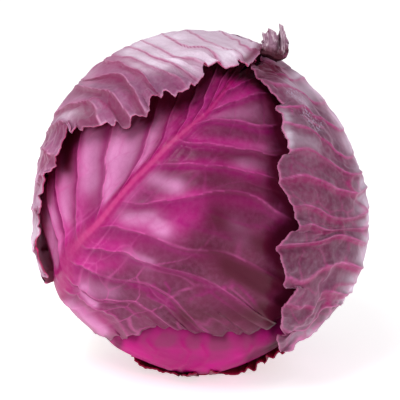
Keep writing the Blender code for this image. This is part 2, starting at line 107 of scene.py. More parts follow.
# Each vein of a leaf, from its midrib out to the margin
FRONT_LEFT = (
    ((-69.5, -44.5), (-73, -34), (-73, -20, BACK), (-70, -5, BACK), (-66, 8, BACK)),
    ((-66.5, -38), (-71.5, -28), (-74.5, -12), (-71, 4, BACK), (-65, 18, BACK)),
    ((-64.8, -32), (-69, -16), (-72, -2), (-73, 12), (-64, 28, BACK)),
    ((-63, -24.5), (-66.2, -9), (-69, 6), (-69.5, 20), (-58, 42, BACK)),
    ((-58, -17.5), (-59.5, -3), (-59.5, 12), (-58.5, 28), (-50, 52)),
    ((-50, -9.5), (-46.5, 4), (-45, 18), (-44, 33), (-34, 62)),
    ((-40, 3), (-32.5, 15), (-27, 27), (-23.5, 41), (-16, 68)),
    ((-24, 20), (-19, 30), (-15, 41), (-11, 54), (-4, 71)),
    ((-11, 33), (-7.5, 41), (-4.5, 50), (-1, 60), (4, 72.5)),
    ((-3, 40), (0.5, 47), (3, 54), (6, 62), (10, 73)),
    ((4, 46), (7, 52), (10, 59), (13, 66), (17, 73.5)),
    ((10.5, 54), (13, 59), (16, 65), (19, 70), (22, 74.5)),
    ((20, 66), (22, 69), (24, 71.5), (26, 73.5), (28, 75)),
)
FRONT_RIGHT = (
    ((-69.5, -44.5), (-66, -48.5), (-62, -52), (-58, -56), (-53.5, -60), (-50, -63)),
    ((-66.5, -38), (-59, -44.5), (-53, -49.5), (-47, -51.5), (-40, -56), (-36, -63.5)),
    ((-64.8, -32), (-55, -42), (-45.5, -47), (-33, -46.3), (-23, -50.5), (-10, -57.5)),
    ((-63, -24.5), (-53, -31), (-43, -35), (-30, -37.5), (-15, -43.5), (5, -58.5)),
    ((-58, -17.5), (-47, -21), (-37, -23), (-22, -29), (3, -37), (27, -60)),
    ((-50, -9.5), (-40.7, -10.3), (-27, -13.8), (-8, -20.6), (17, -25.5), (52, -46)),
    ((-40, 3), (-28, 0.8), (-12, 3), (6, 5.7), (31, 1.5), (62, -14)),
    ((-24, 20), (-14, 18.6), (1, 19.5), (17, 17.6), (36, 12), (65, 5)),
    ((-11, 33), (-3, 30), (12, 29), (25, 27.7), (40, 25.5), (65, 24)),
    ((-3, 40), (7, 41.5), (18, 40.3), (30, 38.2), (43, 38), (61, 38)),
    ((4, 46), (12, 48.5), (20, 52), (29, 54.5), (40, 53.5), (53, 50)),
    ((10.5, 54), (17, 57.5), (24, 60.5), (31, 62), (38, 62), (44, 60)),
    ((20, 66), (24, 68), (28, 69.5), (32, 70), (35, 69.5), (38, 68)),
)
TOP_FRONT = (
    ((-52, -28, BACK), (-63, -29, BACK), (-71, -31, BACK), (-76, -33, BACK), (-77.5, -35), (-74, -35)),
    ((-54, -16, BACK), (-66, -18, BACK), (-76, -20, BACK), (-81.5, -20), (-79.3, -20), (-77.5, -20)),
    ((-55, -2, BACK), (-68, -3, BACK), (-78, -3, BACK), (-82.5, -3), (-80.5, -3), (-77, -4)),
    ((-53, 12, BACK), (-67, 13, BACK), (-77, 13, BACK), (-81, 12), (-78.5, 12), (-74.5, 11.5)),
    ((-50, 22, BACK), (-65, 27, BACK), (-77, 28), (-75, 26.5), (-73, 25), (-70, 23.5)),
    ((-48, 27, BACK), (-64, 34, BACK), (-75, 37), (-71, 38.5), (-67, 39.5), (-63, 40)),
    ((-46, 31, BACK), (-62, 40, BACK), (-72.5, 43.5), (-61, 50), (-54, 48.5), (-50, 38.2)),
    ((-41, 40, BACK), (-53, 52, BACK), (-61, 58.5), (-52, 56.5), (-43.5, 54.5), (-35, 41)),
    ((-37, 47, BACK), (-48, 58, BACK), (-57, 61.2), (-41, 63.3), (-31.5, 57), (-24.5, 45)),
    ((-31, 54, BACK), (-41, 65, BACK), (-47, 70), (-37, 68), (-27, 63), (-19, 52.5)),
    ((-27, 58, BACK), (-37, 69, BACK), (-43, 72.5), (-31, 71.5), (-17, 64.5), (-5, 55.5)),
    ((-21, 63, BACK), (-30, 73, BACK), (-38, 76.5), (-25, 73.5), (-12, 69.3), (0.5, 61)),
    ((-15, 67, BACK), (-23, 77, BACK), (-32, 80), (-20, 77), (-8, 72), (2, 68.5)),
    ((-9, 71, BACK), (-14, 80, BACK), (-18, 83.5), (-9, 80), (0, 75), (11, 68.7)),
    ((-2, 74, BACK), (-4, 82, BACK), (-5, 84.5), (6, 79.5), (16, 75), (23, 69.3)),
    ((6, 77, BACK), (8, 83, BACK), (10, 84), (17, 80.5), (23, 77), (28.4, 72.5)),
    ((17, 80, BACK), (20, 82), (23, 81.5), (26, 80), (29, 78.7), (31.4, 77.4)),
    (
        (27, 71, BACK), (29.5, 75, BACK), (31.5, 77.5, BACK), (32.5, 78, 0.2), (32.5, 77.8, 0.6),
        (32.4, 77.2),
    ),
)
RIGHT_FRONT = (
    ((-25, -46, BACK), (-21, -54, BACK), (-13, -62, BACK)),
    ((2, -44, BACK), (8, -55, BACK), (17, -65, BACK)),
    ((14, -41.5, BACK), (21, -54, BACK), (29, -67, BACK)),
    ((25, -38, BACK), (34, -53, BACK), (38, -69, BACK)),
    ((34, -33, BACK), (43, -46, BACK), (50, -57, BACK), (52, -64, BACK), (47, -67, BACK), (43, -70.5)),
    ((42, -28, BACK), (53, -39, BACK), (63, -51, BACK), (60, -57), (50, -62.5), (42, -68.5)),
    ((53, -17, BACK), (64, -31, BACK), (70, -44, BACK), (62, -48.5), (52, -56), (39.5, -57)),
    ((59, -7, BACK), (71, -20, BACK), (76, -38), (63, -42.5), (52, -47.5), (41, -46)),
    ((62, 1, BACK), (74, -10, BACK), (79, -30), (67, -28), (54, -31), (40.5, -32)),
    ((64, 8, BACK), (76, -3, BACK), (81, -18), (68, -15), (55, -19), (38, -20)),
    ((65.5, 14, BACK), (76, 4, BACK), (82, -9), (70, -11), (58, -11.3), (46.5, -10)),
    ((66.5, 20, BACK), (75.5, 12, BACK), (80.5, -2), (68, -6), (56.5, -2), (43.5, 0)),
    ((66, 26, BACK), (74.5, 19, BACK), (78.5, 8), (68, 7.3), (56, 10.3), (39, 13)),
    ((64.5, 32, BACK), (73, 26, BACK), (76.5, 16.5), (66, 19.5), (54, 25.3), (42.5, 26)),
    ((62, 37, BACK), (70, 33, BACK), (73.5, 24), (64, 28.5), (54, 36), (40, 39)),
    ((58, 42, BACK), (66, 40, BACK), (67, 38), (57, 44), (47, 48.5), (37.5, 48.5)),
    ((51, 50, BACK), (59, 50, BACK), (58, 50), (50, 55), (40, 59.5), (30, 60.5)),
    ((43, 58, BACK), (50, 60.5, BACK), (47, 61.5), (41, 63), (34, 65), (27.5, 65.5)),
    ((37, 65), (38, 67), (36, 68), (34, 69), (31.5, 69.5), (29, 69)),
)
UNDER_FRONT = (
    ((-38, -60, BACK), (-47, -65, BACK)),
    ((-22, -68, BACK), (-31, -75.5, BACK)),
    ((-5, -72, BACK), (-15, -80, BACK)),
    ((9, -73, BACK), (2, -82, BACK)),
    ((21, -71, BACK), (16, -82.5, BACK)),
    ((30, -66, BACK), (28, -79)),
    ((37, -60, BACK), (35, -76)),
    ((42, -54, BACK), (40, -72)),
)
BOTTOM_MIDRIB = (
    (-44, -65), (-34, -71), (-19, -76.5), (-2, -78.5), (18, -76), (36, -67), (50, -53), (60, -37),
)
BACK_MIDRIB = (
    (-42, -34, BACK), (-28, -17, BACK), (-12, 0, BACK), (4, 18, BACK), (17, 36, BACK),
    (26, 52, BACK), (31, 64, BACK), (33, 72),
)

# Ragged margins, with the rows of veins that each runs past
FRONT_MARGIN = (
    (-51, -63), (-47.5, -64.6), (-45, -65), (-43.6, -66.2), (-40.7, -64.2), (-38.7, -63.7), (-36.8, -68.1),
    (-35.3, -63.7), (-32.3, -63.7), (-29.4, -64.2), (-28.4, -61.7), (-25.5, -60.8), (-22.1, -60.3),
    (-21.1, -57.8), (-19.5, -59.8), (-17.2, -60.3), (-14, -59.6), (-11.3, -60.3), (-6, -60.6), (-2, -62.4),
    (3, -61.8), (6, -63.4), (10.8, -63.7), (12.6, -61.2), (15.2, -60.8), (18.5, -62.4), (22.1, -61.7),
    (24, -62.7), (26.5, -61.7), (30.9, -60.3), (33.3, -61.7), (38, -58),
)
TOP_MARGIN = (
    (-76, -37, BACK), (-79, -36.5, 0.3), (-76.5, -35), (-74.5, -35.5), (-76.4, -33), (-77.6, -28.9),
    (-78.4, -25.5), (-79.8, -21.1), (-80, -17.6), (-78.6, -12.7), (-80, -10.8), (-79.4, -7.8),
    (-81, -5.4), (-79.4, -2.5), (-78.4, 2), (-79.4, 4.9), (-77.4, 5.9),
    (-76.6, 9.8), (-75.2, 12.7), (-74.6, 15.2), (-72.6, 16.7), (-71.2, 22), (-69.8, 25), (-68.3, 27.9),
    (-67.1, 32.3), (-65.2, 37.7), (-62.6, 41), (-61.7, 34), (-59.3, 38.2), (-57.8, 36.3), (-55.9, 37.7),
    (-50.5, 38.2), (-44.6, 40.2), (-42.1, 38.7), (-40.6, 41), (-37.7, 37.7), (-34.5, 38.4), (-32.3, 42.1),
    (-30.9, 43.1), (-27, 42.6), (-24, 43.6), (-24, 47), (-22, 50.5), (-20.1, 52.4), (-18.6, 51),
    (-17.2, 53.9), (-11.8, 51), (-10.3, 53.4), (-4.9, 54.9), (-3.9, 56.8), (-4.9, 59.3), (-1, 59.8),
    (2, 63.2), (1, 65.7), (2, 69.1), (3.9, 69.6), (8, 69.4), (12.3, 68.6), (16.7, 67.1), (19.1, 68.1),
    (18.6, 70.6), (22.5, 68.6), (25, 69.6), (28.4, 72), (27.5, 74.5), (31.4, 77.4),
)
RIGHT_MARGIN = (
    (38, -60, BACK), (42, -64, BACK), (44, -66.5, 0.1), (41.7, -68), (37.5, -69), (36.8, -66.2),
    (37.2, -62.7), (41.2, -61.7), (39.2, -59.3), (39.2, -56.8),
    (38.2, -52.4), (40.7, -47), (44.6, -42.6), (45.1, -37.7), (42.6, -39.2), (39.2, -37.7), (40.7, -33.3),
    (39.2, -27.4), (37.2, -22), (38.7, -18.1), (43.1, -12.7), (47.5, -11.3), (46, -6), (43.6, 0.5),
    (41.7, 3.9), (39.2, 6.9), (38.7, 12), (38.7, 18.6), (39.2, 22.5), (40.7, 24.5), (43.1, 25.5),
    (41.2, 33.3), (39.2, 40.2), (37.7, 46.6), (37.2, 48.5), (41, 49.5), (39.2, 51.5), (35.8, 53.9),
    (31.4, 59.3), (27, 63.2), (25, 66.6), (28, 69),
)
UNDER_MARGIN = (
    (-42, -58, BACK), (-35, -67, BACK), (-32.5, -74, BACK), (-31, -77.5, 0.1), (-28, -79.6), (-24, -81),
    (-20, -81), (-17, -82), (-9, -82.8), (-4, -82.6), (0, -83.8), (3.5, -83.4), (5.5, -81.8), (9, -82.2),
    (11, -83),
    (14, -84), (17, -83.8), (19, -82), (22, -81.5), (23.5, -80), (27, -80.3), (28, -77.5), (31.5, -77.8),
    (33, -74.5), (36.5, -75), (38, -72.5), (40.5, -73.5), (42, -70),
)

# Smaller veins, each as strength, width in millimetres and its course
FRONT_TWIGS = (
    (0.7, 0.9, ((3.9, -2.5), (13.7, -6.9), (23, -9.8), (37.2, -11.3))),
    (0.8, 0.8, ((0, -42.6), (18.6, -38.7), (23.5, -43.6), (30.4, -51.9))),
    (0.7, 0.7, ((4.9, -42), (12, -47.5), (22, -54))),
    (0.9, 0.8, ((-25.5, -43.6), (-21.6, -45.6), (-17.2, -47.5), (-11.8, -51.5))),
    (0.6, 0.6, ((-17, -37.5), (-14.5, -40.5), (-15, -43.5))),
    (0.6, 0.6, ((5, -37.2), (3.5, -41), (0, -42.6), (-6, -46.5))),
    (0.5, 0.6, ((-37, -41), (-28, -39.5), (-22, -38.5))),
    (0.8, 0.9, ((2, 45), (3.5, 52), (5, 58))),
    (0.5, 1.2, ((-20, -5), (-9, -8.5), (4, -13), (15, -16))),
    (0.5, 0.6, ((22, -28), (31, -33), (36, -41))),
    (0.5, 0.6, ((-44, -47), (-37, -50), (-30, -55))),
)
RIGHT_TWIGS = (
    (0.8, 0.6, ((49.5, 42.1), (57.8, 38.7), (59.8, 37.7))),
    (0.8, 0.8, ((74, 14.7), (71.5, 10.8), (73.5, 5.9), (76.9, 1), (79.4, -4.4))),
    (0.6, 0.6, ((57.8, -19.1), (62.7, -18.1), (66.2, -14.7))),
    (0.8, 0.7, ((76.4, -36.8), (70.6, -37.7), (66.2, -38.7), (62.7, -41.2), (61.3, -47))),
    (0.7, 0.6, ((46.6, -48), (53.4, -47.5), (59.3, -45.1))),
    (0.6, 0.6, ((60.8, -47), (56.8, -51.5), (53.4, -54.4), (51, -57.8), (50, -60.8))),
    (0.6, 0.6, ((43.6, -66.2), (45.6, -64.2), (50, -61.7))),
    (0.5, 0.6, ((68, -6), (69.5, -12), (68, -18))),
)
TOP_TWIGS = (
    (0.8, 0.8, ((-54.4, 50.5), (-51.9, 52.4), (-48.5, 51), (-44.1, 47))),
    (0.7, 0.7, ((-43.6, 54.9), (-44, 49), (-40.5, 44))),
    (0.6, 0.6, ((-25, 46), (-22, 50), (-19, 53))),
    (0.6, 0.6, ((-57, 50), (-55, 45), (-52, 41))),
)


def unit(vectors):
    """Vectors of length one."""
    return vectors / np.linalg.norm(vectors, axis=-1, keepdims=True)


def smooth_step(values, start, end):
    """0 before start, 1 after end, and an even S between them."""
    share = np.clip((values - start) / (end - start), 0, 1)
    return share * share * (3 - 2 * share)


def blend(start, end, share):
    """From start at a share of 0 to end at 1."""
    return start * (1 - share) + end * share


def value_noise(places, seed):
    """Smooth random values from -1 to 1: a seeded table at whole places, joined by an even S."""
    size = 24
    table = np.random.default_rng(seed).uniform(-1, 1, (size,) * places.shape[-1])
    low = np.floor(places).astype(int)
    share = places - low
    share = share * share * (3 - 2 * share)
    total = 0.0
    for corner in np.ndindex((2,) * places.shape[-1]):
        weight = np.prod(np.where(corner, share, 1 - share), axis=-1)
        total = total + weight * table[tuple(np.moveaxis((low + corner) % size, -1, 0))]
    return total


def layered_noise(places, seed, layers=3):
    """Value noise with finer layers on it, each at twice the pace and half the height."""
    total = 0.0
    for layer in range(layers):
        total = total + value_noise(places * 2**layer + 7.3 * layer, seed + layer) / 2**layer
    return total


def cell_edges(places, seed):
    """Distance from the borders of scattered cells: to the second nearest seed less to the nearest."""
    size = 48
    jitter = np.random.default_rng(seed).uniform(0.15, 0.85, (size, size, 2))
    low = np.floor(places).astype(int)
    nearest = np.full(places.shape[:-1], 9.0)
    second = nearest.copy()
    for step in np.ndindex((3, 3)):
        cell = low + step - 1
        spot = cell + jitter[tuple(np.moveaxis(cell % size, -1, 0))]
        away = np.linalg.norm(places - spot, axis=-1)
        second = np.minimum(second, np.maximum(nearest, away))
        nearest = np.minimum(nearest, away)
    return second - nearest


def line_distance(points, course):
    """Distance of every point from a course of straight stretches, or from a single place."""
    course = np.array(course, float)
    if len(course) == 1:
        return np.linalg.norm(points - course[0], axis=-1)
    nearest = np.full(points.shape[:-1], np.inf)
    for start, end in zip(course[:-1], course[1:]):
        reach = end - start
        share = np.clip((points - start) @ reach / (reach @ reach), 0, 1)
        nearest = np.minimum(nearest, np.linalg.norm(points - start - share[..., None] * reach, axis=-1))
    return nearest


def bell(values):
    """1 at nought, falling off to both sides."""
    return np.exp(-(values**2))


def strokes(picture, courses):
    """Sum of soft strokes, each a bell across the distance from its course."""
    total = np.zeros(picture.shape[:-1])
    for strength, width, course in courses:
        total += strength * bell(line_distance(picture, course) / width)
    return total


def course_length(points):
    """Length of a course from its first place to each of its places."""
    return np.concatenate([[0.0], np.cumsum(np.linalg.norm(np.diff(points[:, :2], axis=0), axis=1))])


def read_off(at, marks, values):
    """Each column of the values, read between the marks."""
    return np.stack([np.interp(at, marks, column) for column in values.T], -1)


def head_radius(directions):
    """Distance of the front leaf's layer from the middle of the head, with its swellings."""
    radius = np.full(directions.shape[:-1], HEAD_RADIUS)
    for side, width, height in SHOULDERS:
        radius += height * np.exp((directions @ unit(np.array(side)) - 1) / width)
    return radius


def floor_distance(directions):
    """Distance from the middle of the head to the floor, along each direction."""
    down = -(directions @ VIEW)[..., 2]
    return np.where(down > 0.2, REST_HEIGHT / np.maximum(down, 0.2), 1.0)


def layer_lift(directions, lift):
    """Height of an outer layer over the head, which shrinks where all the leaves meet at the stalk."""
    near = smooth_step(directions @ unit(STALK), cos(radians(50)), cos(radians(15)))
    return lift * (1 - 0.5 * near * (lift > 0))


def layer_radius(directions, lift):
    """The head's radius with a layer of leaf on it, pressed flat on its underside."""
    pressed = floor_distance(directions) - LEAVES["under_leaf"].lift
    return np.minimum(head_radius(directions), pressed) + layer_lift(directions, lift)


def placed(points, lift):
    """Directions of places that are read in the view, on a layer of leaf with this lift."""
    across = points[..., :2] * MM
    depth = np.zeros(points.shape[:-1])
    for _ in range(10):
        spot = np.concatenate([across * (1 - depth[..., None] / EYE), depth[..., None]], axis=-1)
        radius = layer_radius(unit(spot), lift)
        flat = np.linalg.norm(spot[..., :2], axis=-1)
        depth = points[..., 2] * np.sqrt(np.maximum(radius**2 - flat**2, 0.0))
    return unit(np.concatenate([across * (1 - depth[..., None] / EYE), depth[..., None]], axis=-1))


def as_places(points):
    """Places as an array, with the near side of the head where none is named."""
    return np.array([point if len(point) > 2 else (*point, 1) for point in points], float)


def seen_at(directions, radius):
    """Where points appear in the view, in millimetres right and up of the head's middle."""
    spot = directions * radius[..., None]
    return spot[..., :2] / (1 - spot[..., 2:] / EYE) / MM


def spline(points, at):
    """Catmull-Rom curve through points along the first axis, at fractional places along it."""
    ends = [2 * points[:1] - points[1:2], points, 2 * points[-1:] - points[-2:-1]]
    around = np.concatenate(ends)
    start = np.clip(np.floor(at).astype(int), 0, len(points) - 2)
    share = (at - start).reshape((-1,) + (1,) * (points.ndim - 1))
    a, b, c, d = (around[start + k] for k in range(4))
    cubic = 3 * (b - c) + d - a
    return b + 0.5 * share * (c - a + share * (2 * a - 5 * b + 4 * c - d + share * cubic))


def vein_rows(veins, columns, lift):
    """Hand-placed veins as directions, each resampled to the same number of columns."""
    rows = []
    for vein in veins:
        points = placed(as_places(vein), lift)
        rows.append(spline(points, np.linspace(0, len(points) - 1, columns + 1)))
    return unit(np.array(rows))


def fan_rows(midrib, side, width, sweep, columns):
    """Veins that leave the midrib to one side and bend towards the tip, widest in the leaf's middle."""
    width, sweep = radians(width), radians(sweep)
    ahead = unit(np.gradient(midrib, axis=0))
    for _ in range(SMOOTHING):
        padded = np.concatenate([ahead[:1], ahead, ahead[-1:]])
        ahead = unit(padded[:-2] + 2 * padded[1:-1] + padded[2:])
    across = side * unit(np.cross(midrib, ahead))
    outward = cos(sweep) * across + sin(sweep) * ahead
    share = np.linspace(0, 1, columns + 1)
    along = np.linspace(0, 1, len(midrib))
    reach = width * (0.12 + 0.88 * np.sin(np.pi * (0.14 + 0.84 * along)) ** 0.8)
    angle = (share * reach[:, None])[..., None]
    return np.cos(angle) * midrib[:, None] + np.sin(angle) * outward[:, None]


def with_base(net, middle):
    """The net with one more row in front: the leaf's base, bent round the stalk."""
    axis = unit(STALK)
    towards = unit(net[0, middle] - (net[0, middle] @ axis) * axis)
    turn = np.cross(axis, towards)
    around = np.unwrap(np.arctan2(net[0] @ turn, net[0] @ towards))
    angle = (PETIOLE_SPREAD * np.tanh((around - around[middle]) / PETIOLE_SPREAD))[:, None]
    ring = np.cos(angle) * towards + np.sin(angle) * turn
    base = cos(PETIOLE_ANGLE) * axis + sin(PETIOLE_ANGLE) * ring
    return np.concatenate([base[None], net])


def leaf_net(leaf):
    """Directions of a leaf's veins, margin to margin, and the column that its midrib is in.

    A side is hand-placed veins and their columns, or the side, width, sweep and columns of a fan.
    """
    midrib = placed(as_places(leaf.midrib), leaf.lift) if leaf.midrib else None
    sides = {}
    for at, spec in enumerate(leaf.sides):
        if len(spec) == 2:
            sides[at] = vein_rows(*spec, leaf.lift)
            midrib = sides[at][:, 0]
    for at, spec in enumerate(leaf.sides):
        if len(spec) == 4:
            sides[at] = fan_rows(midrib, *spec)
    first, second = sides[0], sides[1]
    net = np.concatenate([first[:, ::-1], second[:, 1:]], axis=1)
    middle = first.shape[1] - 1
    return with_base(net, middle), middle


def slide(grid, places):
    """The grid resampled along its second axis at fractional places, which differ from row to row."""
    low = np.clip(np.floor(places).astype(int), 0, grid.shape[1] - 2)
    share = (places - low)[..., None]
    before = np.take_along_axis(grid, low[..., None], axis=1)
    after = np.take_along_axis(grid, low[..., None] + 1, axis=1)
    return before * (1 - share) + after * share


def torn_margin(directions, rows, margin, leaf):
    """Pulls the outer part of a blade so that its edge follows a ragged course read in the view.

    Small teeth of smooth noise are added across the course. Where the course lies outside the head's
    outline, the second result says how far the blade has to stand off to reach it.
    """
    first_row, last_row, course = leaf.margin
    points = as_places(course)
    length = course_length(points)
    fine = np.linspace(0, length[-1], MARGIN_STEPS)
    dense = read_off(fine, length, points)
    ahead = unit(np.gradient(dense[:, :2], axis=0))
    teeth = layered_noise(np.stack([fine / TOOTH, 0 * fine], -1), leaf.seed + SEEDS["teeth"], 3)
    teeth = teeth * leaf.teeth
    dense[:, 0] -= ahead[:, 1] * teeth
    dense[:, 1] += ahead[:, 0] * teeth
    edge = directions[:, -1]
    seen = seen_at(edge, layer_radius(edge, leaf.lift))
    whole = np.arange(first_row, last_row + 1)
    marks = [0]
    for row in whole[1:-1]:
        spot = seen[np.argmin(np.abs(rows - row))]
        marks.append(int(np.argmin(np.linalg.norm(dense[:, :2] - spot, axis=1))))
    marks.append(MARGIN_STEPS - 1)
    at = np.interp(rows, whole, np.maximum.accumulate(marks))
    place = read_off(at, np.arange(MARGIN_STEPS), dense)
    target = placed(place, leaf.lift)
    hold = smooth_step(rows, first_row - 0.6, first_row) * (1 - smooth_step(rows, last_row, last_row + 0.6))
    pull = (target - edge) * hold[:, None]
    reach = smooth_step(margin, leaf.margin_from, 1.0)
    beyond = np.linalg.norm(place[:, :2], axis=1) * MM - layer_radius(target, leaf.lift)
    stand = (np.maximum(beyond, 0) * hold)[:, None] * reach
    return unit(directions + pull[:, None] * reach[..., None]), stand


def leaf_grid(leaf):
    """Directions over a leaf at fine steps, with its row, column and share of the way to the margin."""
    net, middle = leaf_net(leaf)
    second = net.shape[1] - 1 - middle
    last_row = len(net) - 1
    coarse = 1
    rows = np.linspace(0, last_row, last_row * leaf.row_steps // coarse + 1)
    before = np.linspace(0, middle, middle * leaf.column_steps[0] // coarse + 1)
    after = np.linspace(middle, middle + second, second * leaf.column_steps[1] // coarse + 1)
    steps = np.concatenate([before, after[1:]])
    directions = unit(spline(spline(net, rows).swapaxes(0, 1), steps).swapaxes(0, 1))
    row, column = np.meshgrid(rows, steps - middle, indexing="ij")
    margin = np.where(column < 0, -column / middle, column / second)
    side = (column >= 0).astype(float)
    nibble = layered_noise(np.stack([row * 2.3, side * 5 + 0 * row], -1), leaf.seed + SEEDS["nibble"], 5)
    nibble = nibble[:, [0, -1]].clip(-1, 1) * 0.5 + 0.5
    cut = nibble[:, :1] * leaf.nibble[0] * (column < 0) + nibble[:, 1:] * leaf.nibble[1] * (column >= 0)
    short = 1 - cut * smooth_step(margin, 0.6, 1.0)
    directions = unit(slide(directions, np.interp(column * short + middle, steps, np.arange(len(steps)))))
    stand = 0.0
    if leaf.margin:
        directions, stand = torn_margin(directions, rows, np.where(column < 0, 0, margin), leaf)
    return directions, rows, row, column, margin, len(before) - 1, last_row, stand


def bare_swelling(directions):
    """How far the bottom leaf swells out in front, below the margin of the front leaf."""
    low = smooth_step(-directions[..., 1], -BARE_HEIGHT[0], -BARE_HEIGHT[1])
    return BARE_LIFT * low * smooth_step(directions[..., 2], *BARE_DEPTH)


def midrib_shape(leaf, points, rows, row, column, middle):
    """The midrib, a plateau with flutes beside it: its mask, swelling, core and the line along it."""
    rib_line = points[:, middle]
    from_rib = line_distance(points, rib_line[:: max(1, len(rows) // RIB_STRETCHES)])
    stations = np.linspace(0, rows[-1], len(leaf.rib_widths))
    width = np.interp(row, stations, leaf.rib_widths) * MM
    across = from_rib / width
    flute = np.cos(2 * pi * (across - 0.15 * np.sign(column)) / 0.62) * smooth_step(across, 0.5, 1.0)
    flute = flute * (1 - smooth_step(across, 1.2, 2.4))
    swell = 0.24 * np.sqrt(np.clip(1 - (across / 1.05) ** 2, 0, 1)) + 0.03 * flute
    # The core is a painted highlight along the rib's crown.
    core = (1 - smooth_step(across, 0.14, 0.42)) * smooth_step(row, 3.5, 6.5) * (1 - row / rows[-1]) ** 0.7
    # The line just outside the flutes is a painted highlight.
    line = bell((across - 1.15) / 0.08) * smooth_step(row, 1.5, 3)
    line = line * (1 - smooth_step(row, 0.4 * rows[-1], 0.7 * rows[-1]))
    return 1 - smooth_step(across, 0.45, 1.0), width, swell, core, line


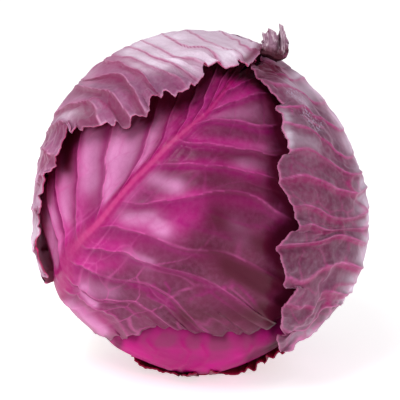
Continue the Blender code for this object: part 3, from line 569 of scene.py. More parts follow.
def leaf_shape(name, sizes):
    """Outer and inner points of a leaf and its masks.

    Over the head's layer stand: a ridge along each vein, which is a bell across the distance from the
    vein; roof-like panels, which fall from one vein's crest to the foot of the next; the midrib;
    quilting, which is cells between the veins; creases, which are the folds of smooth noise at its
    zero; ruffles that grow towards the margin; and a slow crumple.
    """
    leaf = LEAVES[name]
    directions, rows, row, column, margin, middle, last_row, stand = leaf_grid(leaf)
    radius = layer_radius(directions, leaf.lift)
    points = directions * radius[..., None]
    depth = directions[..., 2]
    front = smooth_step(depth, -0.02, 0.12)
    plain = 0.4 + 0.6 * smooth_step(depth, -0.5, 0.0)
    limb = 1 - 0.85 * bell(depth / 0.2)
    along = np.linalg.norm(np.gradient(points, rows, axis=0), axis=-1)
    side = smooth_step(np.abs(column), 0.0, 0.8)
    param = np.stack([row, column], -1)

    def noise(places, kind, layers=1):
        return layered_noise(places, leaf.seed + SEEDS[kind], layers)

    def marked(courses):
        return strokes(picture, courses) * front

    # Veins, and the panels between them
    crossing = row + leaf.wander * noise(param * (0.9, 0.9), "wander", 2) * side
    vein_row = np.round(crossing)
    apart = (crossing - vein_row) * along / MM
    forces = np.random.default_rng(leaf.seed + SEEDS["force"]).uniform(0.6, 1.0, last_row + 3)
    force = forces[vein_row.astype(int) + 1]
    body = smooth_step(row, 0.6, 1.8) * smooth_step(along, 2 * MM, 5 * MM)
    grown = body * side * force * plain * blend(leaf.veins, leaf.front_veins, front)
    width = np.maximum(blend(*leaf.vein_width, margin), 1.2 * along / MM / leaf.row_steps)
    ridge = bell(apart / (width * np.where(apart < 0, 0.6, 1.4))) * grown
    fade = 1 - 0.5 * smooth_step(margin, 0.8, 1.0)
    height = blend(*leaf.vein_height, margin) * MM * sizes.vein_relief * ridge * fade * limb
    step = np.mod(crossing, 1.0)
    calm = smooth_step(row, *leaf.calm_rows)
    tile = (0.5 - step + smooth_step(step, 0.82, 1.0)) * (1 - 0.75 * calm)
    roof = leaf.saw * MM * sizes.vein_relief * body * side * plain * limb * tile
    height += roof * smooth_step(along, 3 * MM, 7 * MM)

    rib, rib_width, swell, core, rib_edge_highlight = midrib_shape(leaf, points, rows, row, column, middle)
    height += sizes.rib_relief * rib_width * swell * smooth_step(row, 0.2, 2.0) * leaf.rib_height

    # Cells between the veins
    warp = np.stack([noise(param * 1.3, "warp_row"), noise(param * 1.3, "warp_column")], -1)
    cells = cell_edges((param + 0.22 * warp) * leaf.cells, leaf.seed + SEEDS["cells"])
    mesh_vein = (1 - smooth_step(cells, 0.0, 0.09)) * side * body * plain * (1 - calm)
    height += leaf.quilt * MM * (smooth_step(cells, 0.0, 0.5) - 0.5) * side * body

    # Twigs, dents and hollows that are read in the photo
    picture = seen_at(directions, radius)
    twig = np.clip(strokes(picture, leaf.twigs), 0, 1) * front
    height += 0.5 * MM * twig * sizes.vein_relief
    dent = np.clip(strokes(picture, leaf.dents), 0, 1) * front
    height -= leaf.dent_depth * MM * dent
    for toward, spread, hollow in leaf.hollows:
        height -= hollow * MM * np.exp((directions @ unit(np.array(toward)) - 1) / spread)

    # Creases, facets and crumple
    folded = np.clip(leaf.crease[1] + marked(leaf.folded), 0, 1)
    crease = (1 - np.abs(noise(points / CREASE_SIZE, "crease", 2))) * folded * body
    height += leaf.crease[0] * MM * crease * sizes.crumple * limb
    facet = noise(points / FACET_SIZE, "facet", 2)
    height += leaf.facet * MM * folded * facet * body * sizes.crumple * limb
    crumple = noise(points / CRUMPLE_SIZE, "crumple", 3)
    height += leaf.crumple * MM * sizes.crumple * crumple * smooth_step(row, 0.3, 1.5)

    # The ruffled margin
    ruffle = noise(np.stack([row * leaf.ruffle_pace, column * 0.8], -1), "ruffle", 3)
    rise = smooth_step(margin, 0.62, 1.0) * smooth_step(row, leaf.flare_row, leaf.flare_row + 2)
    flare = np.where(column < 0, leaf.flare[0], leaf.flare[1]) * MM
    height += flare * rise * (0.6 + 0.4 * ruffle) + leaf.ruffle * MM * ruffle * rise
    frill = noise(np.stack([row * 9, column * 0.5], -1), "frill")
    height += leaf.frill * MM * frill * smooth_step(margin, 0.8, 1.0) * body
    if name == "bottom_leaf":
        height += bare_swelling(directions)
    height += stand

    outer = radius + height
    if name == "under_leaf":
        free = head_radius(directions) + layer_lift(directions, leaf.lift) + height
        outer = np.minimum(free, floor_distance(directions))
    inner = outer - sizes.blade * (1 + 1.2 * rib)

    # Masks of colour
    band = leaf.vein_band
    line = bell((apart + 0.55 * width) / (0.55 * width))
    before, after = np.minimum(apart + band, 0) / band, np.maximum(apart + band, 0) / (0.5 * band)
    below = leaf.band_colour * (1 - 0.8 * calm) * np.exp(-(before**2) - after**2)
    vein = np.maximum(line, below) * grown * (1 - 0.4 * smooth_step(margin, 0.8, 1))
    uneven = 0.55 + 0.45 * noise(param * (0.7, 1.4), "uneven")
    # Painted highlight along each vein's crest and along the tops of creases
    crest = bell((apart - 0.1) / (0.5 * width)) * grown * uneven
    crest = crest + 0.6 * (np.maximum(crease - 0.9, 0) * 10)
    net_crest = leaf.net_crest * mesh_vein * (1 - 0.7 * smooth_step(row, 4, 7))
    mottle = 0.5 + 0.5 * noise(points / MOTTLE_SIZE, "mottle", 3)
    # Pale: painted highlight and sheen where the strokes say, strongest on the lit upper face of each
    # panel; the noise clouds are wax bloom
    panel = smooth_step(step, 0.0, 0.2) * (1 - smooth_step(step, 0.5, 0.85))
    pale = strokes(picture, leaf.pale) * smooth_step(depth, -0.7, 0.1) * (0.5 + 0.5 * panel)
    # Painted shade on each roof-like panel, darker as it falls from one vein's crest towards the foot of
    # the next
    dusk = smooth_step(step, 0.15, 0.8) * body * side
    masks = {
        "vein": np.maximum(np.maximum(vein, leaf.net_colour * mesh_vein), 0.8 * twig),
        "crest": crest + net_crest + 0.5 * rib_edge_highlight * leaf.fluted,
        "rib": rib * smooth_step(row, 0.3, 1.2),
        "core": core,
        "pale": pale + leaf.pale_noise * mottle,
        # Rosy tone from strokes and noise, and painted shade on the panels
        "rose": marked(leaf.rose) + leaf.rose_noise * mottle + leaf.dusk * dusk,
        "shade": marked(leaf.shade) + leaf.gloom * dusk * front * (1 - calm),
        "edge": smooth_step(margin, 0.985, 1.0),
        "bloom": marked(leaf.bloom),
    }
    masks = {mask: np.clip(values, 0, 1) for mask, values in masks.items()}
    return to_world(directions, outer), to_world(directions, inner), masks


def to_world(directions, radius):
    """Points in the row's frame from directions in the view and distances from the head's middle."""
    return (directions @ VIEW) * radius[..., None] + MIDDLE


def grid_faces(index):
    """Four-sided faces between neighbouring rows and columns of a grid of point numbers."""
    return np.stack([index[:-1, :-1], index[1:, :-1], index[1:, 1:], index[:-1, 1:]], -1).reshape(-1, 4)


def spread(masks, count, skins):
    """Every mask over all points of so many skins, with nought for those that a piece doesn't have."""
    return {mask: np.tile(masks.get(mask, np.zeros(count)).reshape(-1), skins) for mask in MASKS}


def blade_mesh(name, outer, inner, masks):
    """A closed blade from two grids of points, joined round their rim, with masks on its points."""
    count, width = inner.shape[:2]
    shift = count * width
    index = np.arange(shift).reshape(count, width)
    skin = grid_faces(index)
    around = np.concatenate([index[0, :-1], index[:-1, -1], index[-1, :0:-1], index[:0:-1, 0]])
    after = np.roll(around, -1)
    rim = np.stack([around, after, after + shift, around + shift], -1)
    faces = np.concatenate([skin, skin[:, ::-1] + shift, rim])
    points = np.concatenate([outer.reshape(-1, 3), inner.reshape(-1, 3)])
    masks = spread(masks, shift, 2)
    masks["inside"] = np.concatenate([np.zeros(shift), np.ones(shift)])
    return surface(name, points, faces, masks)


def surface(name, points, faces, masks):
    """A smooth mesh object from points and four-sided faces, turned so that its faces point out."""
    corners = points[faces]
    across, along = corners[:, 2] - corners[:, 0], corners[:, 3] - corners[:, 1]
    outward = corners.mean(axis=1) - points.mean(axis=0)
    if np.einsum("ij,ij->i", outward, np.cross(across, along)).sum() < 0:
        faces = faces[:, ::-1]
    mesh = bpy.data.meshes.new(name)
    mesh.vertices.add(len(points))
    mesh.vertices.foreach_set("co", points.astype(np.float32).ravel())
    mesh.loops.add(faces.size)
    mesh.loops.foreach_set("vertex_index", faces.astype(np.int32).ravel())
    mesh.polygons.add(len(faces))
    mesh.polygons.foreach_set("loop_start", np.arange(0, faces.size, 4, dtype=np.int32))
    mesh.polygons.foreach_set("loop_total", np.full(len(faces), 4, dtype=np.int32))
    mesh.update(calc_edges=True)
    mesh.validate()
    for mask, values in masks.items():
        layer = mesh.attributes.new(mask, "FLOAT", "POINT")
        layer.data.foreach_set("value", values.astype(np.float32))
    mesh.shade_smooth()
    piece = bpy.data.objects.new(name, mesh)
    bpy.context.scene.collection.objects.link(piece)
    return piece


def joined(piece, material, node):
    """Gives a finished piece its material and ties it to the frame."""
    piece.data.materials.append(material)
    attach(piece, BODY)
    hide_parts(node)


class Shade:
    """A socket of a node tree, on which sums are written as Python expressions."""

    def __init__(self, tree, socket=None):
        self.tree = tree
        self.socket = socket

    def fill(self, node, inputs):
        """Sets a node's inputs, by name or number, to constants or links them to other sockets."""
        for name, value in inputs.items():
            if isinstance(value, Shade):
                self.tree.links.new(value.socket, node.inputs[name])
            else:
                node.inputs[name].default_value = value

    def add(self, kind, settings=None, inputs=None, output=0):
        """A node of this kind, with its settings made first and then its inputs set or linked."""
        node = self.tree.nodes.new(kind)
        for name, value in (settings or {}).items():
            setattr(node, name, value)
        self.fill(node, inputs or {})
        return Shade(self.tree, node.outputs[output])

    def math(self, operation, *values):
        return self.add("ShaderNodeMath", {"operation": operation}, dict(enumerate(values)))

    def __add__(self, other):
        return self.math("ADD", self, other)

    __radd__ = __add__

    def __sub__(self, other):
        return self.math("SUBTRACT", self, other)

    def __rsub__(self, other):
        return self.math("SUBTRACT", other, self)

    def __mul__(self, other):
        return self.math("MULTIPLY", self, other)

    __rmul__ = __mul__

    def between(self, start, end):
        """0 at start and 1 at end, held outside them."""
        return self.add(
            "ShaderNodeMapRange",
            {"interpolation_type": "SMOOTHSTEP"},
            {"Value": self, "From Min": start, "From Max": end, "To Min": 0.0, "To Max": 1.0},
        )

    def mixed(self, start, end):
        """Colours mixed by this value."""
        return self.add("ShaderNodeMix", {"data_type": "RGBA"}, {0: self, 6: start, 7: end}, output=2)

    def noise(self, scale, detail):
        """Smooth noise at the places that this socket gives."""
        return self.add("ShaderNodeTexNoise", inputs={"Vector": self, "Scale": scale, "Detail": detail})


def new_tree(name):
    """An empty material's tree with its shader and output linked, as a sheet to write on."""
    material = bpy.data.materials.new(name)
    material.use_nodes = True
    shader = material.node_tree.nodes["Principled BSDF"]
    return material, Shade(material.node_tree), shader


def leaf_material(name, colours, gloss, haze, shine):
    """Leaf skin: blade colour in clouds, washed pale, rosy or dark, with veins, a midrib and a torn edge.

    Fine grain and pores come from noise and cells on Object coordinates. The bloom of wax makes the
    pale parts rougher and lies in specks where its mask says, and the bare parts keep a soft gloss.
    """
    material, sheet, shader = new_tree(name)
    place = sheet.add("ShaderNodeTexCoord", output="Object")
    mask = {m: sheet.add("ShaderNodeAttribute", {"attribute_name": m}, output="Fac") for m in MASKS}
    grain = place.noise(420.0, 4.0)
    speck = place.noise(900.0, 2.0)
    pores = sheet.add(
        "ShaderNodeTexVoronoi", {"feature": "DISTANCE_TO_EDGE"}, {"Vector": place, "Scale": 330.0}
    )
    net = 1 - pores.between(0.0, 0.12)
    patch = place.noise(45.0, 4.0).between(0.35, 0.68)
    colour = patch.mixed(colours.blade_dark, colours.blade)
    # Rosy tone, which also carries painted shade on the panels and on the dried tip's lower part
    colour = (mask["rose"] * (0.75 + 0.25 * patch)).mixed(colour, colours.rose)
    # Pale wash: painted highlight and sheen, with wax bloom in clouds
    colour = (mask["pale"] * (0.7 + 0.3 * patch)).mixed(colour, colours.pale)
    colour = (net * 0.07).mixed(colour, colours.vein)
    colour = mask["rib"].mixed(colour, colours.rib)
    colour = mask["vein"].mixed(colour, colours.vein)
    # Painted highlight along the midrib's crown
    colour = (mask["core"] * 0.8).mixed(colour, colours.core)
    # Painted highlight on vein crests, creases, cell borders and beside the midrib
    colour = (mask["crest"] * 0.75).mixed(colour, colours.crest)
    colour = (mask["edge"] * 0.75).mixed(colour, colours.edge)
    colour = (grain.between(0.3, 0.75) * 0.08).mixed(colour, colours.pale)
    colour = (mask["bloom"] * speck.between(0.48, 0.66) * 0.7).mixed(colour, linear(WAX))
    # Painted shade and shadow: darkens gaps under overlapping margins, pockets, folds and panels
    colour = mask["shade"].mixed(colour, colours.deep)
    colour = (mask["inside"] * 0.8).mixed(colour, colours.inside)
    rough = gloss + 0.1 * patch + 0.1 * mask["pale"] - 0.06 * mask["vein"] + 0.15 * mask["inside"]
    height = grain * 0.5 + net * 0.25
    bump = sheet.add("ShaderNodeBump", inputs={"Height": height, "Strength": 0.2, "Distance": 0.0004})
    sheet.fill(shader, {
        "Base Color": colour, "Roughness": rough, "Normal": bump, "Specular IOR Level": shine,
        "Sheen Weight": haze, "Sheen Roughness": 0.4, "Sheen Tint": linear(HAZE),
        "Subsurface Weight": 0.0,
    })
    return material


def linear(colour):
    """A colour in the renderer's own values from red, green and blue of 0 to 255."""
    share = np.array(colour) / 255
    values = np.where(share <= 0.04045, share / 12.92, ((share + 0.055) / 1.055) ** 2.4)
    return (*(float(value) for value in values), 1.0)


def colour_group(name, words, **colours):
    """A property group with one colour for each part of a finish."""
    fields = {"__doc__": f"Colours of {words}.", "__annotations__": {}}
    for field, value in colours.items():
        label = field.replace("_", " ").capitalize()
        fields["__annotations__"][field] = bpy.props.FloatVectorProperty(
            name=label, description=f"{label} colour of {words}",
            subtype="COLOR", size=4, min=0.0, max=1.0, default=linear(value),
        )
    return type(name, (bpy.types.PropertyGroup,), fields)


# In each finish the shade colour paints shade and shadow, the crest and core colours paint highlights,
# the rosy colour also takes painted shade, and on the front and wrapper leaves pale is partly painted
# highlight
FrontLeafColours = colour_group(
    "FrontLeafColours", "the glossy front leaf", blade=(106, 40, 68), blade_dark=(84, 24, 50),
    rose=(186, 8, 126), pale=(222, 142, 196), vein=(164, 6, 116), crest=(236, 104, 182),
    rib=(166, 2, 104), core=(220, 74, 142), edge=(96, 34, 62), deep=(84, 14, 42), inside=(150, 60, 110),
)
TopLeafColours = colour_group(
    "TopLeafColours", "the pale top leaf", blade=(166, 92, 142), blade_dark=(126, 58, 102),
    rose=(168, 48, 118), pale=(250, 232, 250), vein=(156, 14, 96), crest=(242, 170, 210),
    rib=(196, 116, 160), core=(206, 140, 176), edge=(214, 152, 190), deep=(104, 8, 52),
    inside=(230, 30, 120),
)
RightLeafColours = colour_group(
    "RightLeafColours", "the dusty right leaf", blade=(120, 54, 90), blade_dark=(84, 32, 62),
    rose=(118, 26, 74), pale=(230, 214, 234), vein=(172, 18, 108), crest=(240, 112, 188),
    rib=(170, 80, 120), core=(180, 96, 136), edge=(206, 110, 160), deep=(84, 8, 42), inside=(150, 40, 92),
)
PinkLeafColours = colour_group(
    "PinkLeafColours", "the pink bottom leaf", blade=(190, 12, 130), blade_dark=(160, 6, 106),
    rose=(176, 2, 100), pale=(140, 56, 98), vein=(170, 6, 110), crest=(214, 60, 150),
    rib=(182, 10, 116), core=(190, 20, 122), edge=(130, 16, 70), deep=(70, 2, 36), inside=(140, 10, 84),
)
BackLeafColours = colour_group(
    "BackLeafColours", "the covered back leaf", blade=(140, 50, 100), blade_dark=(112, 32, 76),
    rose=(150, 30, 98), pale=(186, 106, 154), vein=(158, 22, 104), crest=(204, 96, 152),
    rib=(190, 80, 134), core=(204, 104, 150), edge=(170, 80, 120), deep=(60, 10, 32), inside=(150, 40, 96),
)
DarkLeafColours = colour_group(
    "DarkLeafColours", "the dark under leaf", blade=(132, 18, 58), blade_dark=(104, 12, 44),
    rose=(134, 8, 52), pale=(140, 70, 98), vein=(130, 20, 64), crest=(150, 66, 96),
    rib=(140, 60, 90), core=(150, 70, 100), edge=(150, 30, 72), deep=(176, 12, 68), inside=(190, 14, 76),
)
TipColours = colour_group(
    "TipColours", "the dried tip", blade=(196, 156, 178), blade_dark=(164, 122, 146),
    rose=(112, 48, 66), pale=(178, 138, 158), vein=(92, 44, 66), crest=(236, 214, 226),
    rib=(120, 70, 96), core=(130, 80, 106), edge=(206, 168, 188), deep=(74, 24, 38), inside=(134, 74, 100),
)


class HeadSizes(bpy.types.PropertyGroup):
    """Sizes of the head that a user would change."""

    blade: bpy.props.FloatProperty(
        name="Blade thickness", description="Thickness of a leaf away from its ribs",
        default=0.8 * MM, min=0.3 * MM, max=3 * MM, unit="LENGTH", precision=5,
    )
    vein_relief: bpy.props.FloatProperty(
        name="Vein relief", description="How far the veins stand up, 1 as grown",
        default=1.0, min=0.0, max=3.0, subtype="FACTOR",
    )
    rib_relief: bpy.props.FloatProperty(
        name="Midrib relief", description="How far the midribs stand up, 1 as grown",
        default=1.0, min=0.0, max=3.0, subtype="FACTOR",
    )
    crumple: bpy.props.FloatProperty(
        name="Crumple", description="How uneven the leaves are, 1 as grown",
        default=1.0, min=0.0, max=3.0, subtype="FACTOR",
    )
    stalk_radius: bpy.props.FloatProperty(
        name="Stalk radius", description="Radius of the cut stalk",
        default=12.5 * MM, min=5 * MM, max=30 * MM, unit="LENGTH", precision=5,
    )


GROUPS = {
    "sizes": HeadSizes,
    "front": FrontLeafColours,
    "top": TopLeafColours,
    "right": RightLeafColours,
    "pink": PinkLeafColours,
    "back": BackLeafColours,
    "dark": DarkLeafColours,
    "tip": TipColours,
}


class CabbageSettings(bpy.types.PropertyGroup):
    """All sizes and colours of the head."""

    __annotations__ = {name: bpy.props.PointerProperty(type=group) for name, group in GROUPS.items()}


# What a leaf has where it names nothing of its own, used in leaf_shape and leaf_grid. Heights, widths
# and depths are in millimetres. Rows are counted from the leaf's base, one to a vein, and columns from
# the midrib. Pairs run from the midrib to the margin or stand for the two sides of the leaf.
#   lift, flare, flare_row: its layer over the head in metres, and how far its margin stands off from a row
#   rib_*, fluted: the midrib from base to tip, and the painted highlight line beside its flutes
#   vein*, front_veins, saw, band_colour: the ridges, their strength behind and in front, and the panels
#   calm_rows, gloom, dusk: rows over which the panels fade, and their painted shade, dark and rosy
#   cells, quilt, net_*: the cells between the veins
#   crease, facet, crumple, folded: folds and dents of noise, and strokes along which they are strong
#   margin, margin_from, teeth, nibble, ruffle*, frill: the ragged margin between two rows
#   twigs, dents, pale, rose, shade, bloom: strokes; hollows: direction, spread and depth
COMMON = {
    "flare": (0.0, 0.0), "flare_row": 1, "rib_height": 1.0, "row_steps": 20, "midrib": (),
    "calm_rows": (90, 91), "gloom": 0.0, "net_crest": 0.0, "facet": 0.0, "veins": 1.0, "front_veins": 1.0,
    "fluted": 0, "nibble": (0.08, 0.0), "wander": 0.12, "vein_width": (0.8, 0.6), "saw": 0.0,
    "vein_band": 1.2, "band_colour": 0.5, "cells": (0.9, 1.1), "quilt": 0.15, "crease": (0.0, 0.0),
    "crumple": 0.6, "ruffle": 0.3, "ruffle_pace": 2.0, "frill": 0.2, "net_colour": 0.3, "rose_noise": 0.1,
    "dusk": 0.0, "twigs": (), "pale": (), "shade": (), "margin": (), "margin_from": 0.75, "teeth": 0.5,
    "dent_depth": 0.0, "dents": (), "hollows": (), "rose": (), "folded": (), "bloom": (),
}
# What each leaf has of its own: layers and noises first, then strokes read in the photo
OWN = {
    "bottom_leaf": {
        "lift": -6.2 * MM, "rib_widths": (8, 8, 8, 6), "rib_height": 0.15, "column_steps": (20, 16),
        "midrib": BOTTOM_MIDRIB, "veins": 0.9, "front_veins": 0.0, "seed": 100, "nibble": (0.05, 0.05),
        "vein_width": (2.0, 1.4), "vein_height": (0.25, 0.2), "vein_band": 1.6, "cells": (0.6, 0.8),
        "crumple": 0.45, "net_colour": 0.0, "pale_noise": 0.0, "rose_noise": 0.3,
        "sides": ((1, 54, 15, 4), (-1, 34, 20, 3)),
        "twigs": (
            (1.0, 0.9, ((-24, -61), (-19.5, -65), (-21, -70), (-28, -73))),
            (1.0, 1.0, ((-8, -61.5), (-4.5, -66), (-7, -71), (-15, -74))),
            (1.0, 1.0, ((1, -62.5), (3.5, -67), (1, -71.5), (-4, -73.5))),
            (1.0, 1.2, ((23, -63), (20, -69), (11, -73.5))),
        ),
        "pale": (
            (1.3, 3.2, ((-24, -61.5), (-18, -61), (-8, -61.5), (6, -62.5), (22, -61.5))),
            (0.5, 2.0, ((-14, -67.5), (-2, -68), (14, -67.5))),
        ),
        "shade": (
            (0.7, 1.8, tuple((x, y + 4) for x, y in FRONT_MARGIN)),
            (1.0, 4.0, ((20, -76), (30, -70.5), (38, -63))), (0.6, 2.5, ((22, -68), (34, -62))),
            (0.7, 0.9, ((-24, -72), (-14, -74.5), (-6, -75.2))),
            (0.6, 0.9, ((-2, -76), (8, -76), (16, -74))),
        ),
    },
    "back_leaf": {
        "lift": -3.9 * MM, "rib_widths": (6, 5, 3, 1.5), "row_steps": 18, "column_steps": (16, 16),
        "midrib": BACK_MIDRIB, "net_crest": 0.2, "facet": 0.4, "seed": 200, "nibble": (0.06, 0.06),
        "vein_width": (1.2, 0.8), "vein_height": (0.6, 0.3), "vein_band": 1.4, "cells": (0.9, 0.9),
        "quilt": 0.25, "crease": (0.5, 0.3), "crumple": 0.35, "pale_noise": 0.4, "rose_noise": 0.4,
        "dusk": 0.3, "sides": ((1, 62, 30, 4), (-1, 58, 30, 4)),
    },
    "front_leaf": {
        "lift": -0.4 * MM, "flare": (0.0, 0.8), "flare_row": 2,
        "rib_widths": (7, 8, 8.4, 8, 6.4, 5, 4.2, 3.6, 3, 2.4, 1.8, 1.2), "row_steps": 24,
        "column_steps": (13, 20), "gloom": 0.4, "net_crest": 0.35, "fluted": 1, "seed": 300,
        "nibble": (0.0, 0.0), "vein_width": (1.2, 0.7), "vein_height": (1.0, 0.7), "saw": 0.6,
        "vein_band": 2.0, "band_colour": 0.95, "cells": (0.8, 1.0), "quilt": 0.35, "ruffle": 0.4,
        "ruffle_pace": 3.0, "frill": 0.5, "net_colour": 0.2, "pale_noise": 0.05, "dusk": 0.15,
        "twigs": FRONT_TWIGS, "sides": ((FRONT_LEFT, 4), (FRONT_RIGHT, 5)), "margin": (1, 5, FRONT_MARGIN),
        "margin_from": 0.78, "dent_depth": 1.4,
        "dents": ((1.0, 6.0, RIGHT_MARGIN[6:]), (0.8, 5.0, TOP_MARGIN[38:])),
        "hollows": (((-0.93, -0.34, 0.02), 0.02, 2.6), ((-1.0, 0.0, 0.2), 0.03, -2.6)),
        # Painted highlights on the lit left half and along the left limb
        "pale": (
            (1.1, 7, ((-26, 38), (-36, 16), (-43, 6))), (1.2, 7, ((-52, 32), (-52, 12))),
            (0.8, 6, ((-41, 34), (-42, 18))), (1.0, 4.5, ((-22, 14), (-12, 10))),
            (0.3, 5, ((8, 44), (26, 47))), (0.5, 5, ((-54, -38), (-44, -42))),
            (1.1, 5, ((-34, -5), (-24, -6), (-19, -12))), (0.7, 5, ((-64, 20), (-66, -4))),
            (1.6, 3.0, ((-76, 8), (-73, -11), (-69.5, -27))), (1.3, 2.4, ((-57, -41), (-52, -48))),
            (1.0, 2.5, ((-54, -57), (-47, -62))), (0.9, 3.5, ((-64, -47), (-58, -54))),
            (1.0, 2.6, ((-36, -24.5), (-25, -29))), (0.6, 4, ((16, -10), (22, -15))),
            (0.5, 5, ((22, 22), (30, 24))),
        ),
        "shade": (
            (0.35, 5, ((12, 23), (32, 25))), (0.75, 2.6, RIGHT_MARGIN[6:]), (0.4, 7.0, RIGHT_MARGIN[10:]),
            (0.7, 1.2, TOP_MARGIN[26:40]), (0.6, 2.5, TOP_MARGIN[39:]), (0.5, 6.0, TOP_MARGIN[42:]),
            (0.8, 3.5, ((-66, 18), (-65, 30), (-60, 36))), (0.4, 7, ((8, 8), (22, 8), (32, 6))),
            (0.65, 6, ((8, -7), (18, -14), (32, -20))), (0.5, 7, ((0, -16), (16, -30), (30, -38))),
            (0.55, 6, ((-8, -54), (26, -55))), (0.4, 5, ((14, -33), (30, -38))),
            (0.8, 3.5, ((30, -50), (37, -58))),
        ),
        "rose": (
            (1.0, 3.2, ((-62, -14), (-52, -3), (-42, 8))), (0.8, 14, ((-68, -30), (-68, 16))),
            (0.9, 8, ((-60, -28), (-45, -2), (-30, 16), (-14, 34), (2, 47), (16, 60))),
            (0.9, 13, ((-56, 32), (-54, 8))), (0.9, 9, ((-45, -14), (-22, -10), (-4, -4))),
            (0.9, 7, ((-56, -26), (-42, -26))), (0.8, 8, ((-60, -50), (-50, -58))),
            (0.8, 3.5, ((-8, 20), (10, 20), (30, 14))), (0.8, 3.5, ((-2, 31), (14, 30), (30, 27))),
            (0.7, 4, ((6, 48), (22, 55), (30, 59))), (0.7, 4, ((-20, 2), (5, 5), (28, 2))),
        ),
    },
    "under_leaf": {
        "lift": 1.9 * MM, "flare": (0.0, 0.6), "rib_widths": (5, 4, 3, 2), "row_steps": 26,
        "column_steps": (10, 18), "facet": 0.4, "veins": 0.6, "front_veins": 0.6, "seed": 400,
        "nibble": (0.1, 0.1), "vein_width": (1.2, 0.9), "vein_height": (0.3, 0.2), "cells": (1, 1),
        "crease": (0.3, 0.5), "crumple": 0.3, "ruffle": 0.6, "ruffle_pace": 4.0, "frill": 0.8,
        "pale_noise": 0.1, "rose_noise": 0.5, "sides": ((-1, 24, 10, 3), (UNDER_FRONT, 3)),
        "margin": (1, 8, UNDER_MARGIN), "margin_from": 0.35,
    },
    "right_leaf": {
        "lift": 4.9 * MM, "flare": (0.4, 2.5), "flare_row": 5, "rib_widths": (6, 5, 4, 3, 2, 1),
        "column_steps": (12, 18), "calm_rows": (12, 15), "gloom": 0.25, "net_crest": 0.3, "facet": 1.6,
        "seed": 500, "wander": 0.2, "vein_height": (0.9, 0.7), "saw": 0.7, "vein_band": 1.5,
        "band_colour": 0.9, "quilt": 0.5, "crease": (3.0, 0.2), "ruffle": 0.8, "frill": 0.5,
        "pale_noise": 0.03, "rose_noise": 0.35, "dusk": 0.25, "twigs": RIGHT_TWIGS,
        "sides": ((-1, 42, 20, 3), (RIGHT_FRONT, 5)), "margin": (4, 19, RIGHT_MARGIN),
        "hollows": (((1.0, 0.14, 0.0), 0.03, 1.8), ((0.52, -0.85, 0.0), 0.012, 2.4)),
        # Painted highlight and sheen along the limb and on a few panels
        "pale": (
            (1.3, 4.0, ((50, 65), (60, 56), (70, 42), (78, 24), (82, 2))), (0.5, 4.0, ((44, 60), (52, 52))),
            (0.4, 5.0, ((44, 34), (54, 28))), (1.4, 4.5, ((82, 2), (82, -14), (80, -30), (72, -45))),
            (0.6, 2.0, ((40, 47), (41, 38), (43, 27))), (0.5, 3.0, ((60, -56), (46, -65))),
        ),
        "shade": (
            (0.8, 3.5, ((28, 69), (33, 67.5), (37, 68))), (0.5, 5, ((30, 64), (38, 64))),
        ),
        "rose": (
            (0.5, 7, ((44, 30), (58, 24), (68, 10))), (0.5, 6, ((46, 8), (60, 0), (64, -10))),
            (0.4, 5, ((46, -26), (60, -24))),
        ),
        "folded": (
            (0.9, 12, ((46, -64), (58, -50), (70, -32))), (0.8, 5, ((42, 46), (48, 40), (46, 28))),
            (0.8, 8, ((76, 10), (79, -12))),
        ),
        "bloom": (
            (0.9, 2.2, ((44, 55), (48, 53), (51, 49))), (0.9, 2.4, ((50, 44), (54, 41), (58, 39))),
            (0.5, 2.0, ((52, 47), (56, 36))),
        ),
    },
    "top_leaf": {
        "lift": 7.5 * MM, "flare": (1.5, 3.0), "flare_row": 5, "rib_widths": (8, 7, 5, 4, 3, 2),
        "column_steps": (11, 18), "calm_rows": (8.5, 11.5), "gloom": 0.55, "net_crest": 0.5, "facet": 1.0,
        "seed": 600, "wander": 0.2, "vein_height": (0.7, 0.7), "saw": 1.3, "band_colour": 0.6, "quilt": 0.5,
        "crease": (2.0, 0.15), "crumple": 0.5, "ruffle": 1.0, "ruffle_pace": 2.4, "frill": 0.7,
        "pale_noise": 0.12, "dusk": 0.35, "twigs": TOP_TWIGS,
        "shade": ((0.8, 2.0, ((22, 71), (27, 73.5), (31, 77.5))),),
        "sides": ((1, 58, 30, 4), (TOP_FRONT, 5)), "margin": (1, 17, TOP_MARGIN),
        "hollows": (((-1.0, 0.05, 0.1), 0.06, 2.4), ((-0.93, -0.36, 0.0), 0.02, 1.5)),
        # Painted highlight along the top, on some panels and along the left flap's limb
        "pale": (
            (1.8, 9, ((-32, 82), (-12, 84), (15, 84))), (0.9, 8, ((-26, 73), (-4, 71), (20, 77))),
            (0.2, 5, ((-60, 56), (-54, 62))), (0.6, 4, ((-66, 44), (-56, 45))),
            (0.4, 2.5, ((-79, 14), (-80, -4))), (1.2, 3.0, ((-81, -6), (-81, -18), (-79, -28))),
        ),
        "rose": (
            (0.35, 9, ((-64, 46), (-46, 46), (-34, 48))), (1.0, 1.7, ((-56, 60.5), (-50, 62), (-41, 63))),
            (1.0, 1.7, ((-48, 70.5), (-42, 71.5), (-33, 70.5))),
            (1.0, 1.5, ((-67, 47), (-62, 49.5), (-54, 50.5))), (0.8, 1.3, ((-52, 55.5), (-45, 55.3))),
            (0.5, 6, ((-74, 28), (-80, 6))), (0.6, 6, ((-52, 66), (-42, 71), (-34, 66))),
        ),
        "folded": (
            (0.8, 7, ((-64, 38), (-52, 42), (-38, 42), (-26, 47), (-16, 55))),
            (0.8, 6, ((-76, 24), (-80, 0), (-80, -24))),
        ),
    },
}
LEAVES = {name: SimpleNamespace(**{**COMMON, **own}) for name, own in OWN.items()}

# The stalk's outline: millimetres from the middle of the head, and share of its radius
STALK_PROFILE = (
    (70.5, 0.02), (70.5, 0.8), (71, 0.93), (73, 0.95), (76, 0.97), (79, 0.99), (81, 1.01), (83, 1.03),
    (84.1, 1.035), (84.5, 1.0), (84.6, 0.9), (84.5, 0.6), (84.3, 0.3), (84.2, 0.02),
)

